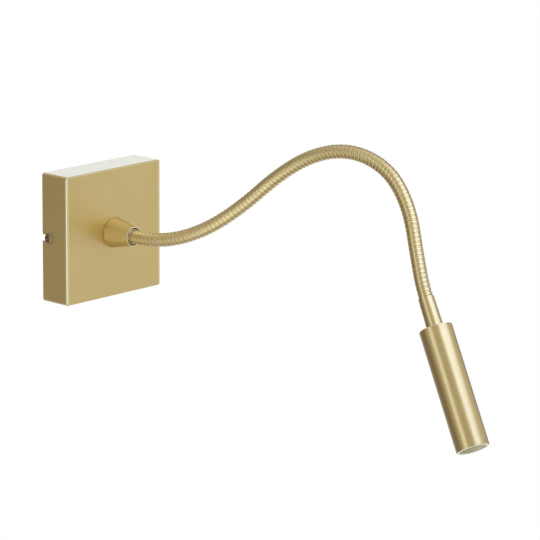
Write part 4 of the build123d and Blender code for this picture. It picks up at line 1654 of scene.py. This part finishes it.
@dataclass
class SpotHead:
    """Ferrule, tube and lens ring at the end of the neck.

    The edge's reach is how far its paler band goes, in edge radii, and a bare value is the share of bare
    metal, painted paler as a highlight.
    """

    middle: Vector
    axis: Vector
    neck_bore: float = 5.25 * MM
    ferrule_length: float = 23.8 * MM
    ferrule_top: float = 5.75 * MM
    ferrule_foot: float = 6.25 * MM
    ferrule_recess: float = 2.0 * MM
    ferrule_tail: float = 32.3 * MM
    ferrule_edge: float = 0.15 * MM
    tail_radius: float = 5.0 * MM
    sleeve_bore: float = 3.95 * MM
    sleeve_floor: float = 13.8 * MM
    lead_bore: float = 2.5 * MM
    length: float = 93.0 * MM
    radius: float = 12.3 * MM
    wall: float = 2.05 * MM
    top: float = 3.0 * MM
    hole: float = 5.1 * MM
    edge: float = 0.32 * MM
    edge_steps: int = 5
    edge_reach: float = 1.2
    edge_bare_and_sheen: float = 0.7
    rim_height: float = 0.2 * MM
    rim_bare_and_sheen: float = 0.5
    lens_depth: float = 7.0 * MM
    ring_height: float = 2.0 * MM
    ring_bore: float = 8.6 * MM
    ring_slope: float = 0.9 * MM
    ring_gap: float = 0.05 * MM
    ring_edge: float = 0.12 * MM

    @property
    def origin(self) -> Vector:
        """The middle of the ferrule's top, where the neck ends."""
        return self.middle - self.axis * (self.ferrule_length + self.length / 2)

    def bare_and_sheen_share(self, radius: float, height: float) -> float:
        """Gives how bare the tube is, bare metal painted paler as a highlight: the bore wholly, the rim and
        the top's edge in part.

        Args:
            radius: Distance from the axis.
            height: Distance along the axis from the ferrule's top.

        Returns:
            Share of bare metal.
        """
        # Bore, rim and top edge are painted pale: bare metal, and a painted highlight that lights the inside
        # of the mouth
        if radius < self.radius - 0.5 * self.wall and height > self.ferrule_length + 0.5 * self.top:
            return 1.0
        if height > self.ferrule_length + self.length - self.rim_height:
            return self.rim_bare_and_sheen
        reach = self.edge_reach * self.edge
        rubbed_and_sheen = radius > self.radius - reach and height < self.ferrule_length + reach
        return self.edge_bare_and_sheen if rubbed_and_sheen else 0.0

    def build(self) -> None:
        """Turns the head's gold pieces."""
        turning = Turning(self.origin, self.axis)
        mouth = self.ferrule_length + self.length
        bore = self.radius - self.wall
        ferrule = [
            (self.neck_bore, 0.0),
            (self.ferrule_top, 0.0),
            (self.ferrule_foot, self.ferrule_length),
            (self.tail_radius, self.ferrule_length),
            (self.tail_radius, self.ferrule_tail),
            (self.lead_bore, self.ferrule_tail),
            (self.lead_bore, self.sleeve_floor),
            (self.sleeve_bore, self.sleeve_floor),
            (self.sleeve_bore, self.ferrule_recess),
            (self.neck_bore, self.ferrule_recess),
        ]
        made = turning.piece("ferrule_collar", ferrule, self.ferrule_edge)
        settle(made, "head", "gold_turned", "head_ferrule")
        tube = [
            (self.hole, self.ferrule_length),
            (self.radius, self.ferrule_length),
            (self.radius, mouth),
            (bore, mouth),
            (bore, self.ferrule_length + self.top),
            (self.hole, self.ferrule_length + self.top),
        ]
        made = turning.piece("spot_tube", tube, self.edge, self.edge_steps, self.bare_and_sheen_share)
        settle(made, "head", "gold_turned", "head_tube")
        front = mouth - self.lens_depth
        back = front - self.ring_height
        ring = [
            (self.ring_bore, back),
            (bore - self.ring_gap, back),
            (bore - self.ring_gap, front),
            (self.ring_bore + self.ring_slope, front),
            (self.ring_bore, front - self.ring_slope),
        ]
        made = turning.piece("lens_retainer", ring, self.ring_edge)
        settle(made, "head", "gold_turned", "lens_ring")


def bearing(azimuth: float, elevation: float) -> Vector:
    """Gives a direction from the object.

    Args:
        azimuth: Angle in degrees from straight out of the wall, towards the right.
        elevation: Angle in degrees over the level.

    Returns:
        The direction, one metre long.
    """
    around, up = math.radians(azimuth), math.radians(elevation)
    level = math.cos(up)
    return Vector((math.sin(around) * level, -math.cos(around) * level, math.sin(up)))


@dataclass(frozen=True)
class Softbox:
    """A soft lamp that faces the object: its direction and lean are in degrees, and a glow of 1 is white."""

    name: str
    azimuth: float
    elevation: float
    size: tuple[float, float]
    glow: float
    tint: Colour
    lean: float = 0.0

    def build(self, middle: Vector, distance: float) -> None:
        """Adds the lamp.

        Args:
            middle: Point that it faces.
            distance: Its distance from there.
        """
        data = bpy.data.lights.new(self.name, "AREA")
        data.shape = "RECTANGLE"
        data.size, data.size_y = self.size
        data.color = self.tint
        data.energy = self.glow * math.pi * self.size[0] * self.size[1]
        toward = bearing(self.azimuth, self.elevation)
        turn = Quaternion((0, 0, 1), math.radians(self.lean))
        made = linked(self.name, data)
        made.location = middle + toward * distance
        made.rotation_mode = "QUATERNION"
        made.rotation_quaternion = toward.to_track_quat("Z", "Y") @ turn


@dataclass(frozen=True)
class Lobe:
    """A soft spot of the surround, full up to its inner angle and gone at its outer one, all in degrees."""

    azimuth: float
    elevation: float
    inner: float
    outer: float
    glow: float

    def share(self, way: Term) -> Term:
        """Gives 1 inside the spot and 0 outside it for a direction from the object."""
        near = way.dot(bearing(self.azimuth, self.elevation))
        return near.ramp(math.cos(math.radians(self.outer)), math.cos(math.radians(self.inner)))


class Studio:
    """Camera at the photograph's angle, soft light and a plain white surround.

    The floor fades to white between two shares of its radius, and is pale already in its middle.
    """

    middle = Vector((0.0, -0.17, 0.0))
    camera_place = Vector((-1.885038, -1.958258, 0.609923))
    camera_right = Vector((0.68491, -0.72860, 0.00598))
    camera_up = Vector((0.16402, 0.16218, 0.97302))
    camera_back = Vector((-0.70992, -0.66546, 0.23059))
    camera_range = 50.0
    lens = 240.0
    sensor = 36.0
    lamp_distance = 1.3
    lamps = (
        Softbox("front softbox", 17.5, 51.0, (1.48, 1.02), 1.38, (0.84, 1.05, 1.70)),
        Softbox("left softbox", -88.0, 11.0, (0.505, 1.8), 0.92, (0.85, 1.0, 1.26), 20.0),
        Softbox("floor bounce", -64.0, -32.0, (1.0, 0.9), 0.90, (0.92, 1.0, 1.20)),
        Softbox("back bounce", 118.0, -44.0, (0.9, 0.8), 0.68, (0.95, 1.0, 1.10)),
    )
    room_glow = 0.46
    backdrop = Lobe(133.0, 13.0, 8.0, 20.0, 0.95)
    dark_side = Lobe(-158.0, -2.0, 10.0, 46.0, -0.29)
    other_lobes = (
        Lobe(50.0, -12.0, 12.0, 50.0, 0.24),
        Lobe(-22.0, -12.0, 8.0, 36.0, 0.30),
        Lobe(-110.0, -16.0, 6.0, 22.0, 0.30),
        Lobe(120.0, -18.0, 10.0, 40.0, -0.30),
        Lobe(140.0, 40.0, 8.0, 24.0, -0.28),
        Lobe(-160.0, 80.0, 15.0, 50.0, 0.30),
    )
    white: Colour = (1.0, 1.0, 1.0)
    room_tint: Colour = (1.0, 0.975, 0.93)
    dark_tint: Colour = (1.12, 0.955, 0.90)
    backdrop_tint: Colour = (0.88, 1.0, 1.2)
    floor_drop = 2.4
    floor_radius = 4.8
    floor_sides = 96
    floor_grey: Colour = (0.86, 0.86, 0.86)
    floor_fade = (0.2, 0.9)
    floor_pale = 0.6

    def camera(self) -> None:
        """Sets the camera."""
        data = bpy.data.cameras.new("camera")
        data.lens = self.lens
        data.sensor_width = self.sensor
        data.clip_end = self.camera_range
        made = linked("camera", data)
        turn = Matrix((self.camera_right, self.camera_up, self.camera_back)).transposed()
        made.matrix_world = Matrix.Translation(self.camera_place) @ turn.to_4x4()
        bpy.context.scene.camera = made

    def surround(self) -> None:
        """Makes the world: white to the camera, and a room with a white backdrop to everything else."""
        world = bpy.data.worlds.new("studio")
        bpy.context.scene.world = world
        web = NodeWeb.fresh(world)
        way = web.term("ShaderNodeTexCoord", None, None, "Generated")
        backdrop, dark = self.backdrop.share(way), self.dark_side.share(way)
        glow = backdrop * self.backdrop.glow + dark * self.dark_side.glow + self.room_glow
        for lobe in self.other_lobes:
            glow = glow + lobe.share(way) * lobe.glow
        seen = web.camera_ray()
        strength = seen + glow * (1.0 - seen)
        walls = web.mix(dark, self.room_tint, self.dark_tint)
        room = web.mix(backdrop, walls, self.backdrop_tint)
        tint = web.mix(seen, room, self.white)
        light = web.term("ShaderNodeBackground", None, {"Color": tint, "Strength": strength})
        web.add("ShaderNodeOutputWorld", None, {"Surface": light})

    def floor(self) -> None:
        """Lays a pale round floor well below the object, fading to white at its rim."""
        centre = self.middle - Vector((0.0, 0.0, self.floor_drop))
        built = bmesh.new()
        bmesh.ops.create_circle(built, cap_ends=True, segments=self.floor_sides, radius=self.floor_radius)
        mesh = mesh_of("floor", built)
        mesh.transform(Matrix.Translation(centre))
        coat = bpy.data.materials.new("floor_paint")
        web = NodeWeb.fresh(coat)
        away = web.object_place().distance(centre)
        paint = web.term("ShaderNodeBsdfDiffuse", None, {"Color": self.floor_grey})
        white = web.term("ShaderNodeEmission", None, {"Color": self.white, "Strength": 1.0})
        near, far = (share * self.floor_radius for share in self.floor_fade)
        pale = away.ramp(near, far) * (1.0 - self.floor_pale) + self.floor_pale
        both = web.term("ShaderNodeMixShader", None, {0: web.camera_ray() * pale, 1: paint, 2: white})
        web.add("ShaderNodeOutputMaterial", None, {"Surface": both})
        mesh.materials.append(coat)
        linked("floor", mesh)

    def build(self) -> None:
        """Sets up the camera, lamps and surround."""
        bpy.context.scene.view_settings.view_transform = "Standard"
        self.camera()
        for lamp in self.lamps:
            lamp.build(self.middle, self.lamp_distance)
        self.surround()
        self.floor()


def dress_solids(nodes: dict[str, bpy.types.Object]) -> None:
    """Gives every solid that still shows the finish of its slot.

    Args:
        nodes: The solids by name.
    """
    for name, solid in nodes.items():
        slot = solid.material_slots[0]
        slot.material = FINISHES[slot.material.name].material()
        log.info("%s takes %s", name, slot.material.name)


def middle_of(node: str) -> Vector:
    """Gives the middle of a solid's box, which is on the axis of an evenly turned one."""
    low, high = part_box(node)
    return (low + high) / 2


def main() -> None:
    """Builds the light piece by piece, and logs the solids it dresses and the pieces it seats."""
    logging.basicConfig(level=logging.INFO, format="%(message)s")
    for item in list(bpy.data.objects):
        bpy.data.objects.remove(item)
    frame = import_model()
    dress_solids(frame["nodes"])
    BaseBox(fastener_tool()).build()
    for piece in (
        Softened("wall_bracket", "bracket_plate", "zinc_steel", 0.25 * MM),
        Softened("driver_case", "driver_housing", "white_plastic", 0.5 * MM),
        Softened("driver_lid", "driver_cap", "white_plastic", 0.4 * MM),
        Softened("terminal_block", "terminal_strip", "white_plastic", 0.3 * MM),
        Softened("stud_nut", "stud_hex_nut", "brass", 0.25 * MM),
        Softened("lock_washer", "toothed_washer", "zinc_steel", 0.12 * MM),
    ):
        piece.build()
    axis = (middle_of("lens_ring") - middle_of("heat_sink")).normalized()
    head = SpotHead(middle_of("head_tube"), axis)
    head.build()
    tip = Vector((0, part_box("neck_cone")[0].y, 0))
    FlexibleNeck(frame["joints"], tip, head.origin).build()
    Studio().build()


if __name__ == "__main__":
    main()
